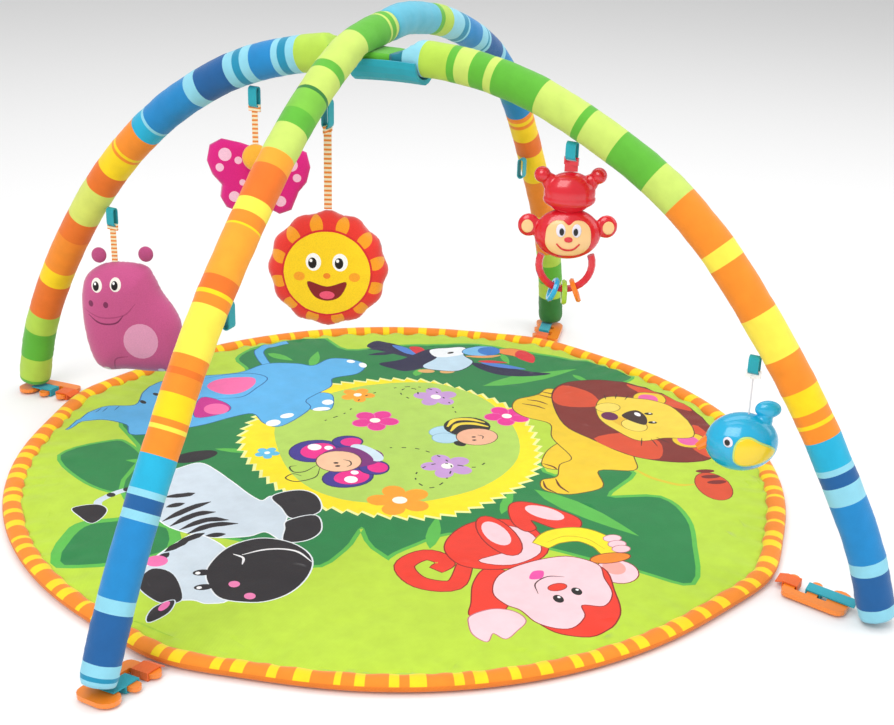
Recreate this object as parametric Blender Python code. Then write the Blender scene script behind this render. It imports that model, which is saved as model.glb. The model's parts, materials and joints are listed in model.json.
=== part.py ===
"""Activity play gym: a round padded mat, two crossed padded arches and five hanging toys.

Run with  blender --background --python part.py  or from Blender's text editor.
Metres, +Z up. The origin is on the floor, under the middle of the whole gym. Seen from above,
front is -Y, so the four arch feet are front_left, front_right, back_left and back_right.
"""

import math

import bmesh
import bpy
from mathutils import Matrix, Vector

# ---------------------------------------------------------------- driving dimensions (metres)

GAP = 0.0004                    # clearance kept between touching pieces
MAT_RADIUS = 0.425              # outside of the stuffed binding
MAT_CENTRE = (0.0000, 0.0052)
PAD_THICKNESS = 0.008
BINDING_WIDTH = 0.021
BINDING_HEIGHT = 0.0125
CORNER_PULL = 0.010             # how far each tab pulls the binding out of round
CORNER_SPREAD = 8.0             # degrees of rim that the pull takes up

CROWN = (-0.0420, -0.0076)      # where the two arches cross, seen from above
CROWN_HEIGHT = 0.4750           # the plane in which the two sleeves press on each other
CROWN_FLAT = (-0.032, 0.042)    # the stretch of each sleeve that is pressed flat
ARCH_A_AZIMUTH = 46.3           # the arch on top runs front_left to back_right
ARCH_B_AZIMUTH = -46.3          # the arch below runs back_left to front_right

# Each arch is one springy hoop. Its centre line is a smooth curve through these points:
# distance from the crown along the arch's azimuth, and height.
ARCH_A_POINTS = [
    (-0.466, 0.004), (-0.446, 0.050), (-0.410, 0.115), (-0.360, 0.189), (-0.307, 0.261),
    (-0.247, 0.327), (-0.170, 0.398), (-0.100, 0.4475), (-0.045, 0.4755), (0.000, 0.4855),
    (0.045, 0.4905), (0.090, 0.4915), (0.160, 0.480), (0.235, 0.456), (0.303, 0.423),
    (0.350, 0.385), (0.392, 0.339), (0.440, 0.271), (0.487, 0.196), (0.516, 0.135),
    (0.535, 0.073), (0.546, 0.004),
]
ARCH_B_POINTS = [
    (-0.482, 0.004), (-0.462, 0.085), (-0.425, 0.167), (-0.375, 0.248), (-0.318, 0.319),
    (-0.248, 0.382), (-0.165, 0.432), (-0.080, 0.4595), (0.000, 0.469), (0.070, 0.471),
    (0.135, 0.465), (0.205, 0.444), (0.298, 0.396), (0.360, 0.346), (0.413, 0.284),
    (0.465, 0.211), (0.505, 0.143), (0.540, 0.072), (0.562, 0.004),
]

ROD_RADIUS = 0.0030
FERRULE_RADIUS = 0.0046
FERRULE_LENGTH = 0.040
FERRULE_CENTRE = 0.110          # along the arch from the crown
BORE_RADIUS = 0.0058            # the sleeve's tunnel round rod and ferrule
CROWN_BORE_RADIUS = 0.0034      # the tunnel where the sleeves are pressed flat
SLEEVE_SIDES = 12
SLEEVE_STEPS = 26
ROD_STEPS = 36

# name: (arch, side of the crown, sleeve radius, height of its bottom edge)
LEGS = {
    "front_left": ("a", -1, 0.0165, 0.0170),
    "back_right": ("a", 1, 0.0165, 0.0132),
    "back_left": ("b", -1, 0.0190, 0.0155),
    "front_right": ("b", 1, 0.0175, 0.0070),
}
SLEEVE_JOIN = {"a": 0.040, "b": 0.036}      # where the two half sleeves of an arch meet

# name: (azimuth of the mat's tab, heading of the clip from foot to tab, reach from foot to clip,
#        how near the foot's centre the foot strap comes)
TABS = {
    "front_left": (-134.9, 36.0, -0.001, 0.004),
    "front_right": (-48.8, 122.5, 0.039, 0.0225),
    "back_left": (137.8, -40.0, -0.002, 0.004),
    "back_right": (46.7, -120.0, 0.005, 0.004),
}
CLIP_THICKNESS = 0.0046
CLIP_LIFT = 0.0024              # the clip lies on its webbing
WEBBING = 0.0014
STRAP_HEIGHT = 0.0078           # underside of a foot strap where it meets its sleeve

TOY_YAW = -18.3                 # the toys face the front, a little to the left
LOOP_WIDTH = 0.010
LOOP_INNER = 0.0030
LOOP_OUTER = LOOP_INNER + 0.0012

# toy loop: (leg, distance from the crown, how far the loop hangs)
LOOPS = {
    "hippo": ("back_left", 0.338, 0.022),
    "butterfly": ("back_left", 0.136, 0.022),
    "sun": ("front_left", 0.077, 0.028),
    "front_left_spare": ("front_left", 0.253, 0.026),
    "monkey": ("front_right", 0.224, 0.018),
    "bird": ("front_right", 0.418, 0.018),
    "back_right_spare": ("back_right", 0.412, 0.026),
    "back_right_low": ("back_right", 0.300, 0.022),
}

# ---------------------------------------------------------------- shared tools

def clear_scene():
    for obj in list(bpy.data.objects):
        bpy.data.objects.remove(obj, do_unlink=True)


def srgb(hexcode):
    """A colour written as web hex, in Blender's linear values."""
    parts = [int(hexcode[i:i + 2], 16) / 255 for i in (0, 2, 4)]
    return [c / 12.92 if c <= 0.04045 else ((c + 0.055) / 1.055) ** 2.4 for c in parts] + [1.0]


def add_object(name, mesh, hexcode, roughness=0.9, metallic=0.0):
    """Put a finished mesh in the scene with a material of its own."""
    material = bpy.data.materials.new(name + "_material")
    material.use_nodes = True
    shader = material.node_tree.nodes["Principled BSDF"]
    shader.inputs["Base Color"].default_value = srgb(hexcode)
    shader.inputs["Roughness"].default_value = roughness
    shader.inputs["Metallic"].default_value = metallic
    mesh.materials.append(material)
    obj = bpy.data.objects.new(name, mesh)
    bpy.context.scene.collection.objects.link(obj)
    return obj


def mesh_from(name, bm, smooth=True):
    bmesh.ops.recalc_face_normals(bm, faces=bm.faces)
    for face in bm.faces:
        face.smooth = smooth
    mesh = bpy.data.meshes.new(name)
    bm.to_mesh(mesh)
    bm.free()
    return mesh


def place(bm, origin, yaw=0.0):
    """Turn a shape about Z by yaw degrees and move it to origin."""
    matrix = Matrix.Translation(origin) @ Matrix.Rotation(math.radians(yaw), 4, "Z")
    bmesh.ops.transform(bm, matrix=matrix, verts=bm.verts)


def skin_rings(rings, closed=False, capped=True):
    """A solid through a list of equal rings of points: capped ends, or closed on itself."""
    bm = bmesh.new()
    loops = [[bm.verts.new(point) for point in ring] for ring in rings]
    pairs = list(zip(loops, loops[1:]))
    if closed:
        pairs.append((loops[-1], loops[0]))
    for first, second in pairs:
        count = len(first)
        for i in range(count):
            j = (i + 1) % count
            bm.faces.new((first[i], first[j], second[j], second[i]))
    if capped and not closed:
        bm.faces.new(reversed(loops[0]))
        bm.faces.new(loops[-1])
    return bm


def skin_pipe(outer, inner):
    """A pipe wall between two lists of rings, with an annulus closing each end."""
    return skin_rings(outer + inner[::-1], closed=True)


def extrude_outline(outline, low, high, plane="XY"):
    """A flat plate from an outline; in plane XZ it is extruded along Y instead of Z."""
    def point(u, v, w):
        return (u, v, w) if plane == "XY" else (u, w, v)
    rings = [[point(u, v, w) for u, v in outline] for w in (low, high)]
    return skin_rings(rings)


def arc(centre, radius, start, end, steps):
    """Points round part of a circle; angles in degrees."""
    out = []
    for i in range(steps + 1):
        angle = math.radians(start + (end - start) * i / steps)
        out.append((centre[0] + radius * math.cos(angle), centre[1] + radius * math.sin(angle)))
    return out


def pillow(outline, thickness):
    """A stuffed shape: its outline in XZ is the seam, and both faces swell along Y."""
    cx = sum(p[0] for p in outline) / len(outline)
    cz = sum(p[1] for p in outline) / len(outline)
    bm = bmesh.new()
    seam = [bm.verts.new((x, 0.0, z)) for x, z in outline]
    count = len(seam)
    for side in (-1, 1):
        depth = side * thickness / 2
        ring = seam
        for scale, swell in ((0.94, 0.42), (0.78, 0.76), (0.45, 0.96)):
            inner = [bm.verts.new((cx + (x - cx) * scale, depth * swell, cz + (z - cz) * scale))
                     for x, z in outline]
            for i in range(count):
                j = (i + 1) % count
                bm.faces.new((ring[i], ring[j], inner[j], inner[i]))
            ring = inner
        tip = bm.verts.new((cx, depth, cz))
        for i in range(count):
            bm.faces.new((ring[i], ring[(i + 1) % count], tip))
    return bm


def combine(first, second, operation="UNION"):
    """Boolean two shapes: join them, or with DIFFERENCE cut the second from the first."""
    base = bpy.data.objects.new("base", mesh_from("base", first))
    tool = bpy.data.objects.new("tool", mesh_from("tool", second))
    for obj in (base, tool):
        bpy.context.scene.collection.objects.link(obj)
    joiner = base.modifiers.new("join", "BOOLEAN")
    joiner.operation = operation
    joiner.object = tool
    bpy.context.view_layer.update()
    evaluated = base.evaluated_get(bpy.context.evaluated_depsgraph_get())
    result = bmesh.new()
    result.from_mesh(evaluated.to_mesh())
    for obj in (base, tool):
        bpy.data.objects.remove(obj, do_unlink=True)
    return result


def ball(centre, radii, columns=14, rows=8):
    """A sphere stretched to three radii."""
    bm = bmesh.new()
    bmesh.ops.create_uvsphere(bm, u_segments=columns, v_segments=rows, radius=1.0)
    matrix = Matrix.Translation(centre) @ Matrix.Diagonal((*radii, 1.0))
    bmesh.ops.transform(bm, matrix=matrix, verts=bm.verts)
    return bm


def rod_between(start, end, radius_start, radius_end, sides=8):
    """A straight tapered bar."""
    start, end = Vector(start), Vector(end)
    direction = (end - start).normalized()
    bm = bmesh.new()
    bmesh.ops.create_cone(bm, cap_ends=True, segments=sides, radius1=radius_start,
                          radius2=radius_end, depth=(end - start).length)
    turn = Vector((0, 0, 1)).rotation_difference(direction).to_matrix().to_4x4()
    bmesh.ops.transform(bm, matrix=Matrix.Translation((start + end) / 2) @ turn, verts=bm.verts)
    return bm


# ---------------------------------------------------------------- the arches' centre lines

def smooth_curve(points, step=0.002):
    """Catmull-Rom curve through the points, returned at an even spacing."""
    line = [Vector(p) for p in points]
    padded = [2 * line[0] - line[1], *line, 2 * line[-1] - line[-2]]
    dense = []
    for p0, p1, p2, p3 in zip(padded, padded[1:], padded[2:], padded[3:]):
        for i in range(24):
            t = i / 24
            dense.append(0.5 * (2 * p1 + (p2 - p0) * t + (2 * p0 - 5 * p1 + 4 * p2 - p3) * t * t
                                + (3 * p1 - p0 - 3 * p2 + p3) * t ** 3))
    dense.append(line[-1])
    out, left = [dense[0]], step
    for a, b in zip(dense, dense[1:]):
        length = (b - a).length
        while left <= length:
            out.append(a.lerp(b, left / length))
            left += step
        left -= length
    return out


class Arch:
    """One hoop: its centre line, and the frame of a cross-section anywhere along it."""

    def __init__(self, points, azimuth):
        self.line = smooth_curve(points)
        angle = math.radians(azimuth)
        self.along = Vector((math.cos(angle), math.sin(angle), 0))
        self.across = Vector((-math.sin(angle), math.cos(angle), 0))

    def index(self, distance):
        """The sample nearest a distance from the crown."""
        return min(range(len(self.line)), key=lambda i: abs(self.line[i].x - distance))

    def foot_index(self, side, height):
        """The sample where a leg reaches a height above the floor."""
        half = [i for i, p in enumerate(self.line) if p.x * side > 0.2]
        return min(half, key=lambda i: abs(self.line[i].y - height))

    def world(self, distance, height):
        return Vector((CROWN[0], CROWN[1], height)) + self.along * distance

    def ring(self, index, radius, sides, limit=None):
        """A cross-section ring; limit clamps it to the plane the two sleeves press on."""
        before = self.line[max(index - 3, 0)]
        after = self.line[min(index + 3, len(self.line) - 1)]
        slope = (after - before).normalized()
        centre = self.line[index]
        up = Vector((-slope.y, slope.x))
        out = []
        for k in range(sides):
            angle = 2 * math.pi * (k + 0.5) / sides
            lift = radius * math.sin(angle)
            point = self.world(centre.x + up.x * lift, centre.y + up.y * lift)
            point += self.across * radius * math.cos(angle)
            if limit:
                point.z = limit(point, centre.x)
            out.append(point)
        return out

    def pressed(self, side):
        """The clamp that keeps a sleeve above (1) or below (-1) the pressed plane."""
        def limit(point, distance):
            reach = max(0.0, CROWN_FLAT[0] - distance, distance - CROWN_FLAT[1])
            plane = CROWN_HEIGHT + side * (GAP * 0.7 - 0.6 * reach - 8.0 * reach ** 2)
            return max(point.z, plane) if side > 0 else min(point.z, plane)
        return limit

    def underside(self, distance, radius):
        """Height of the sleeve's lower surface at a distance from the crown."""
        best = None
        for before, here, after in zip(self.line, self.line[1:], self.line[2:]):
            slope = (after - before).normalized()
            spot = here - Vector((-slope.y, slope.x)) * radius
            gap = abs(spot.x - distance)
            if best is None or gap < best[0]:
                best = (gap, spot.y)
        return best[1]


ARCHES = {"a": Arch(ARCH_A_POINTS, ARCH_A_AZIMUTH), "b": Arch(ARCH_B_POINTS, ARCH_B_AZIMUTH)}


def spread(first, last, count):
    """Evenly spaced whole numbers from first to last."""
    return [round(first + (last - first) * i / count) for i in range(count + 1)]


# ---------------------------------------------------------------- arches: rods, ferrules, sleeves

def add_arch_half(leg):
    """The rod and the padded sleeve from one foot to where the two halves of the arch meet."""
    key, side, radius, bottom = LEGS[leg]
    arch = ARCHES[key]
    limit = arch.pressed(1 if key == "a" else -1)
    foot = arch.foot_index(side, bottom)
    join = arch.index(SLEEVE_JOIN[key])
    inward = -side
    steps = spread(foot, join if side < 0 else join + 1, SLEEVE_STEPS)
    extra = [i for i in map(arch.index, CROWN_FLAT) if min(steps) < i < max(steps)]
    steps = sorted(set(steps + extra), reverse=side > 0)
    outer = [arch.ring(i, radius, SLEEVE_SIDES, limit) for i in steps]
    inner = []
    for i in steps:
        near = CROWN_FLAT[0] - 0.012 < arch.line[i].x < CROWN_FLAT[1] + 0.012
        inner.append(arch.ring(i, CROWN_BORE_RADIUS if near else BORE_RADIUS, SLEEVE_SIDES))
    mesh = mesh_from("sleeve", skin_pipe(outer, inner))
    colours = {"front_left": "F08A1E", "back_right": "F5C722",
               "back_left": "1F86C4", "front_right": "7CC242"}
    add_object("sleeve_" + leg, mesh, colours[leg])

    start = foot + inward * 2
    centre = arch.index(FERRULE_CENTRE)
    end = centre if side < 0 else centre + 1
    rings = [arch.ring(i, ROD_RADIUS, 8) for i in spread(start, end, ROD_STEPS)]
    add_object("rod_" + leg, mesh_from("rod", skin_rings(rings)), "E8E8E2", 0.45)


def add_ferrule(key):
    """The metal tube in which the two rods of an arch meet."""
    arch = ARCHES[key]
    centre = arch.index(FERRULE_CENTRE)
    half = round(FERRULE_LENGTH / 2 / 0.002)
    steps = spread(centre - half, centre + half, 4)
    outer = [arch.ring(i, FERRULE_RADIUS, 8) for i in steps]
    inner = [arch.ring(i, ROD_RADIUS + 2 * GAP, 8) for i in steps]
    add_object("ferrule_" + key, mesh_from("ferrule", skin_pipe(outer, inner)), "B9BCC0", 0.35, 1.0)


def add_crown_cuff():
    """The bunched cloth trough that carries the lower arch where the upper one crosses it."""
    arch = ARCHES["b"]
    rings = []
    for i in spread(arch.index(-0.010), arch.index(0.066), 6):
        centre = arch.line[i]
        inner, outer = [], []
        for k in range(11):
            angle = math.radians(-176 + 172 * k / 10)
            for radius, out in ((0.0204, inner), (0.0226, outer)):
                sag = 0.003 * max(0.0, -math.sin(angle)) ** 2 if out is outer else 0.0
                height = centre.y + (radius + sag) * math.sin(angle)
                out.append(arch.world(centre.x, height) + arch.across * radius * math.cos(angle))
        rings.append(outer + inner[::-1])
    add_object("crown_cuff", mesh_from("crown_cuff", skin_rings(rings)), "1E9FB4")


# ---------------------------------------------------------------- mat: pad, binding and tabs

def rim_radius(angle):
    """The mat's outside radius, pulled out at each tab."""
    radius = MAT_RADIUS
    for azimuth, *_ in TABS.values():
        away = (math.degrees(angle) - azimuth + 180) % 360 - 180
        radius += CORNER_PULL * math.exp(-(away / CORNER_SPREAD) ** 2)
    return radius


def add_mat():
    """The quilted pad and the stuffed, striped roll bound round its edge."""
    count = 96
    section = [(0.0, 0.10), (0.10, 0.0), (0.85, 0.0), (1.0, 0.35), (1.0, 0.65), (0.78, 1.0),
               (0.25, 1.0), (0.0, 0.75)]
    rings, rim = [], []
    for i in range(count):
        angle = 2 * math.pi * i / count
        outside = rim_radius(angle)
        inside = outside - BINDING_WIDTH
        unit = Vector((math.cos(angle), math.sin(angle), 0))
        centre = Vector((*MAT_CENTRE, 0))
        rings.append([centre + unit * (inside + u * BINDING_WIDTH) + Vector((0, 0, v * BINDING_HEIGHT))
                      for u, v in section])
        edge = centre + unit * (inside - GAP)
        rim.append((edge.x, edge.y))
    pad = extrude_outline(rim, 0.0, PAD_THICKNESS)
    add_object("mat_pad", mesh_from("mat_pad", pad, smooth=False), "A6CE39")
    add_object("mat_binding", mesh_from("mat_binding", skin_rings(rings, closed=True)), "F58A1F")


def clip_frame(leg):
    """Where a clip lies: its origin, the way to the mat, and the way its fingers point."""
    key, side, _, bottom = LEGS[leg]
    arch = ARCHES[key]
    foot = arch.line[arch.foot_index(side, bottom)]
    _, heading, reach, _ = TABS[leg]
    angle = math.radians(heading)
    inward = Vector((math.cos(angle), math.sin(angle), 0))
    origin = arch.world(foot.x, 0.0) + inward * reach
    # The fingers point anticlockwise, the way the foot swings when its arch is folded.
    return origin, inward, arch.across * side


FINGERS = ((0.000, 0.0110, 0.0200), (0.0260, 0.0055, 0.0190), (0.0500, 0.0058, 0.0180))
SPINE = (-0.0200, -0.0085)


def clip_outline():
    """A comb: one broad lobe and two fingers with round ends on a common spine."""
    points = arc((FINGERS[0][0] + 0.0015, SPINE[0] + 0.0115), 0.0115, 270, 180, 4)
    for index, (u, half, tip) in enumerate(FINGERS):
        if index:
            points.append((u - half, SPINE[1]))
        points += arc((u, tip - half), half, 180, 0, 7)
        if index < len(FINGERS) - 1:
            points.append((u + half, SPINE[1]))
    last = FINGERS[-1]
    points += arc((last[0] + last[1] - 0.006, SPINE[0] + 0.006), 0.006, 0, -90, 3)
    return points


def strap_ring(u, half, wall, tail, tail_height):
    """A webbing loop round one finger in the clip's (u, z) plane, with its tail to one side."""
    inner_low, inner_high = CLIP_LIFT - 0.0005, CLIP_LIFT + CLIP_THICKNESS + 0.0005
    clear = half + 0.0009
    outer_low, outer_high = inner_low - wall, inner_high + wall
    outside = [(u - clear - wall, outer_low), (u + clear + wall, outer_low)]
    if tail > 0:
        outside += [(u + clear + wall, outer_high - wall), (u + clear + wall + tail, tail_height),
                    (u + clear + wall + tail, tail_height + wall), (u + clear, outer_high)]
        outside.append((u - clear - wall, outer_high))
    else:
        outside += [(u + clear + wall, outer_high), (u - clear, outer_high),
                    (u - clear - wall + tail, tail_height + wall),
                    (u - clear - wall + tail, tail_height), (u - clear - wall, outer_high - wall)]
    hole = [(u - clear, inner_low), (u + clear, inner_low), (u + clear, inner_high),
            (u - clear, inner_high)]
    return outside, hole


def add_strap(name, leg, u, half, width, tail, tail_height, hexcode):
    """Extrude a webbing loop along the finger and cut its eye."""
    origin, inward, fingers = clip_frame(leg)
    outside, hole = strap_ring(u, half, WEBBING, tail, tail_height)
    middle = (SPINE[1] + FINGERS[1][2] - half) / 2 + 0.0012
    low, high = middle - width / 2, middle + width / 2

    def solid(points, start, end):
        return skin_rings([[origin + inward * a + fingers * w + Vector((0, 0, b)) for a, b in points]
                           for w in (start, end)])

    strap = combine(solid(outside, low, high), solid(hole, low - 0.01, high + 0.01), "DIFFERENCE")
    add_object(name, mesh_from(name, strap, smooth=False), hexcode)


def add_foot(leg):
    """The clip that joins a foot to the mat, with the webbing loop each of them puts on it."""
    origin, inward, fingers = clip_frame(leg)
    outline = clip_outline()
    rings = [[origin + inward * u + fingers * v + Vector((0, 0, z)) for u, v in outline]
             for z in (CLIP_LIFT, CLIP_LIFT + CLIP_THICKNESS)]
    clip = mesh_from("clip", skin_rings(rings), smooth=False)
    add_object("clip_" + leg, clip, "F7871F", 0.3)

    azimuth = TABS[leg][0]
    rim = rim_radius(math.radians(azimuth))
    corner = Vector((MAT_CENTRE[0] + rim * math.cos(math.radians(azimuth)),
                     MAT_CENTRE[1] + rim * math.sin(math.radians(azimuth)), 0))
    u, half, _ = FINGERS[2]
    reach = (corner - origin).dot(inward) - u - half - 0.0009 - WEBBING - 0.004
    add_strap("mat_tab_" + leg, leg, u, half, 0.017, max(reach, 0.004), 0.0046, "F26A21")
    u, half, _ = FINGERS[1]
    _, _, reach, end = TABS[leg]
    lead = reach + u - half - 0.0009 - WEBBING - end
    add_strap("foot_strap_" + leg, leg, u, half, 0.015, -lead, STRAP_HEIGHT, "1FA3C4")


# ---------------------------------------------------------------- toy loops and ribbons

def loop_pivot(name):
    """The middle of the bend at the bottom of a toy loop, where the toy swings."""
    leg, distance, height = LOOPS[name]
    key, side, radius, _ = LEGS[leg]
    arch = ARCHES[key]
    top = arch.underside(side * (distance + LOOP_WIDTH / 2), radius * 1.03) - GAP
    return arch, arch.world(side * distance, top - height + LOOP_OUTER), top


def stadium(radius, low, high, steps):
    """A tall slot shape round the loop's pivot: half-round below and above."""
    return (arc((0, low), radius, 180, 360, steps) + arc((0, high), radius, 0, 180, steps))


def add_toy_loop(name):
    """A loop of turquoise webbing sewn under the sleeve."""
    arch, pivot, top = loop_pivot(name)
    straight = top - LOOP_OUTER - pivot.z
    rings = []
    for radius, flip in ((LOOP_OUTER, 1), (LOOP_INNER, -1)):
        outline = stadium(radius, 0.0, straight, 6)
        for w in (-flip * LOOP_WIDTH / 2, flip * LOOP_WIDTH / 2):
            rings.append([pivot + arch.across * x + arch.along * w + Vector((0, 0, z))
                          for x, z in outline])
    add_object("toy_loop_" + name, mesh_from("toy_loop", skin_rings(rings, closed=True)), "22A7B8")


def add_ribbon(name, length, width, hexcode, thickness=0.0016):
    """A ribbon hitched round the loop's bend, with its strap hanging down to the toy."""
    arch, pivot, _ = loop_pivot(name)
    eye = LOOP_WIDTH / 2 + 0.0005
    edge = eye + 0.0016
    slot = 0.0012
    rings = []
    for w in (-slot, slot):
        rings.append([pivot + arch.along * x + arch.across * w + Vector((0, 0, z)) for x, z in
                      ((-edge, -0.0012), (edge, -0.0012), (edge, -0.0085), (-edge, -0.0085))])
    for w in (slot, -slot):
        rings.append([pivot + arch.along * x + arch.across * w + Vector((0, 0, z)) for x, z in
                      ((-eye, -0.0025), (eye, -0.0025), (eye, -0.0047), (-eye, -0.0047))])
    hitch = skin_rings(rings, closed=True)
    strap = bmesh.new()
    bmesh.ops.create_cube(strap, size=1.0)
    drop = length - 0.006
    matrix = (Matrix.Translation(pivot + Vector((0, 0, -0.006 - drop / 2)))
              @ Matrix.Rotation(math.radians(TOY_YAW), 4, "Z")
              @ Matrix.Diagonal((width, thickness, drop, 1.0)))
    bmesh.ops.transform(strap, matrix=matrix, verts=strap.verts)
    add_object(name + "_ribbon", mesh_from("ribbon", combine(hitch, strap), False), hexcode)
    return pivot


def toy_piece(name, bm, pivot, offset, hexcode, roughness=0.95):
    """Place a toy's piece: offset is from the toy's swing pivot, in the toy's own directions."""
    turn = Matrix.Rotation(math.radians(TOY_YAW), 4, "Z")
    place(bm, pivot + turn @ Vector(offset), TOY_YAW)
    add_object(name, mesh_from(name, bm), hexcode, roughness)


# ---------------------------------------------------------------- plush toys

HIPPO_OUTLINE = [
    (-0.049, 0.048), (-0.031, 0.061), (-0.009, 0.064), (0.019, 0.060), (0.029, 0.046),
    (0.037, 0.028), (0.049, 0.010), (0.057, -0.008), (0.059, -0.032), (0.054, -0.056),
    (0.043, -0.068), (0.024, -0.070), (-0.008, -0.068), (-0.031, -0.069), (-0.046, -0.058),
    (-0.054, -0.032), (-0.057, -0.002), (-0.056, 0.028),
]
HIPPO_DROP = 0.047              # pivot to the top of the head
WING_LEFT = [
    (-0.0006, 0.006), (-0.018, 0.012), (-0.038, 0.016), (-0.051, 0.009), (-0.055, -0.008),
    (-0.050, -0.024), (-0.041, -0.035), (-0.042, -0.049), (-0.035, -0.060), (-0.021, -0.065),
    (-0.008, -0.057), (-0.0006, -0.040),
]
WING_RIGHT = [
    (0.0006, -0.008), (0.022, -0.002), (0.042, 0.007), (0.052, 0.003), (0.056, -0.013),
    (0.052, -0.030), (0.044, -0.041), (0.039, -0.052), (0.035, -0.061), (0.022, -0.066),
    (0.009, -0.059), (0.0006, -0.040),
]


def add_hippo():
    pivot = add_ribbon("hippo", HIPPO_DROP, 0.0065, "E9E2D0")
    middle = -HIPPO_DROP - 0.0645
    toy_piece("hippo_body", pillow(HIPPO_OUTLINE, 0.052), pivot, (0.016, 0, middle), "C5588C")
    for side, x in (("left", -0.034), ("right", 0.020)):
        ear = ball((0, 0, 0), (0.0085, 0.0045, 0.0090), 10, 6)
        seam = 0.0720 if side == "left" else 0.0745
        toy_piece("hippo_ear_" + side, ear, pivot, (0.016 + x, 0, middle + seam), "C5588C")


def add_butterfly():
    drop = 0.043
    pivot = add_ribbon("butterfly", drop, 0.0060, "E9E2D0")
    head = -drop - GAP - 0.0145
    body = combine(ball((0, 0, 0), (0.0145, 0.0095, 0.0145)),
                 ball((0.004, 0, -0.034), (0.0075, 0.0080, 0.0270)))
    toy_piece("butterfly_body", body, pivot, (0, 0, head), "F7C948")
    for side, outline in (("left", WING_LEFT), ("right", WING_RIGHT)):
        wing = pillow(outline, 0.012)
        toy_piece("butterfly_wing_" + side, wing, pivot, (0, 0.0160, head), "D8187C")


def add_sun():
    drop = 0.084
    pivot = add_ribbon("sun", drop, 0.0075, "E9E2D0")
    radius = 0.060
    outline = arc((0, 0), radius, 0, 345, 23)
    toy_piece("sun_body", pillow(outline, 0.036), pivot, (0, 0, -drop - GAP - radius), "E8342A")


# ---------------------------------------------------------------- monkey rattle

HEAD_RADII = (0.0320, 0.0150, 0.0250)
HANDLE_RADIUS = 0.0255
HANDLE_WIRE = 0.0036


def add_monkey():
    """A hard rattle: domed body with raised hands, head, and a ring that carries three teethers."""
    drop = 0.015
    pivot = add_ribbon("monkey", drop, 0.0125, "D81E2C")
    top = -drop - GAP
    body = combine(ball((0, 0, -0.020), (0.0245, 0.0150, 0.0200), 18, 10),
                 ball((0, 0, -0.026), (0.0250, 0.0150, 0.0105), 18, 8))
    for side in (-1, 1):
        body = combine(body, rod_between((side * 0.014, 0, -0.016), (side * 0.0265, 0, -0.003),
                                       0.0055, 0.0045))
        body = combine(body, ball((side * 0.0265, 0, -0.003), (0.0078, 0.0074, 0.0078), 12, 8))
    neck = -0.0350 - HEAD_RADII[2]
    socket = ball((0, 0, neck), [r + GAP for r in HEAD_RADII], 20, 12)
    body = combine(body, socket, "DIFFERENCE")
    toy_piece("monkey_body", body, pivot, (0, 0, top), "D81E2C", 0.2)

    head_z = top + neck
    head = ball((0, 0, 0), HEAD_RADII, 20, 12)
    for side in (-1, 1):
        head = combine(head, ball((side * 0.0370, 0.002, 0.007), (0.0105, 0.0050, 0.0112), 14, 8))
    toy_piece("monkey_head", head, pivot, (0, 0, head_z), "D81E2C", 0.2)

    outline = FACE_HALF + [(-x, z) for x, z in FACE_HALF[-2:0:-1]]
    face = inlay(outline, HEAD_RADII, 20, 12, 0.0016)
    toy_piece("monkey_face", face, pivot, (0, 0, head_z), "F3B765", 0.3)

    centre_z = head_z - HEAD_RADII[2] - 0.0055
    rings = []
    for i in range(19):
        angle = math.radians(158 + (382 - 158) * i / 18)
        out = Vector((math.cos(angle), 0, math.sin(angle)))
        middle = out * HANDLE_RADIUS
        rings.append([middle + out * HANDLE_WIRE * math.cos(k * math.pi / 4)
                      + Vector((0, HANDLE_WIRE * math.sin(k * math.pi / 4), 0)) for k in range(8)])
    toy_piece("monkey_handle", skin_rings(rings), pivot, (0, 0, centre_z), "D81E2C", 0.2)

    for name, angle, hexcode in (("blue", -112, "1FA9DC"), ("lime", -90, "A4CE39"),
                                 ("orange", -68, "F5821F")):
        add_teether(name, pivot, centre_z, math.radians(angle), hexcode)


def inlay(outline, radii, columns, rows, thickness):
    """A skin of the outline's shape that lies on the front of an ellipsoid."""
    plate = extrude_outline(outline, -2 * radii[1], -0.2 * radii[1], plane="XZ")
    outside = ball((0, 0, 0), [r + GAP + thickness for r in radii], columns, rows)
    inside = ball((0, 0, 0), [r + GAP for r in radii], columns, rows)
    return combine(combine(plate, outside, "INTERSECT"), inside, "DIFFERENCE")


FACE_HALF = [
    (0.0, 0.0135), (0.006, 0.0165), (0.014, 0.0155), (0.0200, 0.0090), (0.0215, 0.0010),
    (0.0215, -0.0070), (0.0165, -0.0145), (0.0080, -0.0180), (0.0, -0.0190),
]


TEETHER_RADIUS = 0.0098
TEETHER_WIRE = 0.0027


def add_teether(name, pivot, centre_z, angle, hexcode):
    """A ring hanging on the handle's wire, in the plane across the wire."""
    out = Vector((math.cos(angle), 0, math.sin(angle)))
    wire = out * HANDLE_RADIUS
    hang = TEETHER_RADIUS - TEETHER_WIRE - HANDLE_WIRE - 0.0003
    centre = wire + out * hang
    rings = []
    for i in range(16):
        turn = 2 * math.pi * i / 16
        spoke = out * math.cos(turn) + Vector((0, math.sin(turn), 0))
        tangent = Vector((-math.sin(angle), 0, math.cos(angle)))
        rings.append([centre + spoke * (TEETHER_RADIUS + TEETHER_WIRE * math.cos(k * math.pi / 3))
                      + tangent * TEETHER_WIRE * math.sin(k * math.pi / 3) for k in range(6)])
    toy_piece("teether_" + name, skin_rings(rings, closed=True), pivot, (0, 0, centre_z), hexcode, 0.3)


# ---------------------------------------------------------------- musical bird on its pull cord

BIRD_CORD_RADIUS = 0.0008
BIRD_TOP = 0.0370               # cord between the loop's link and the top of the shell
BIRD_TRAVEL = 0.038
SPOOL_RADIUS = 0.0090


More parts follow.
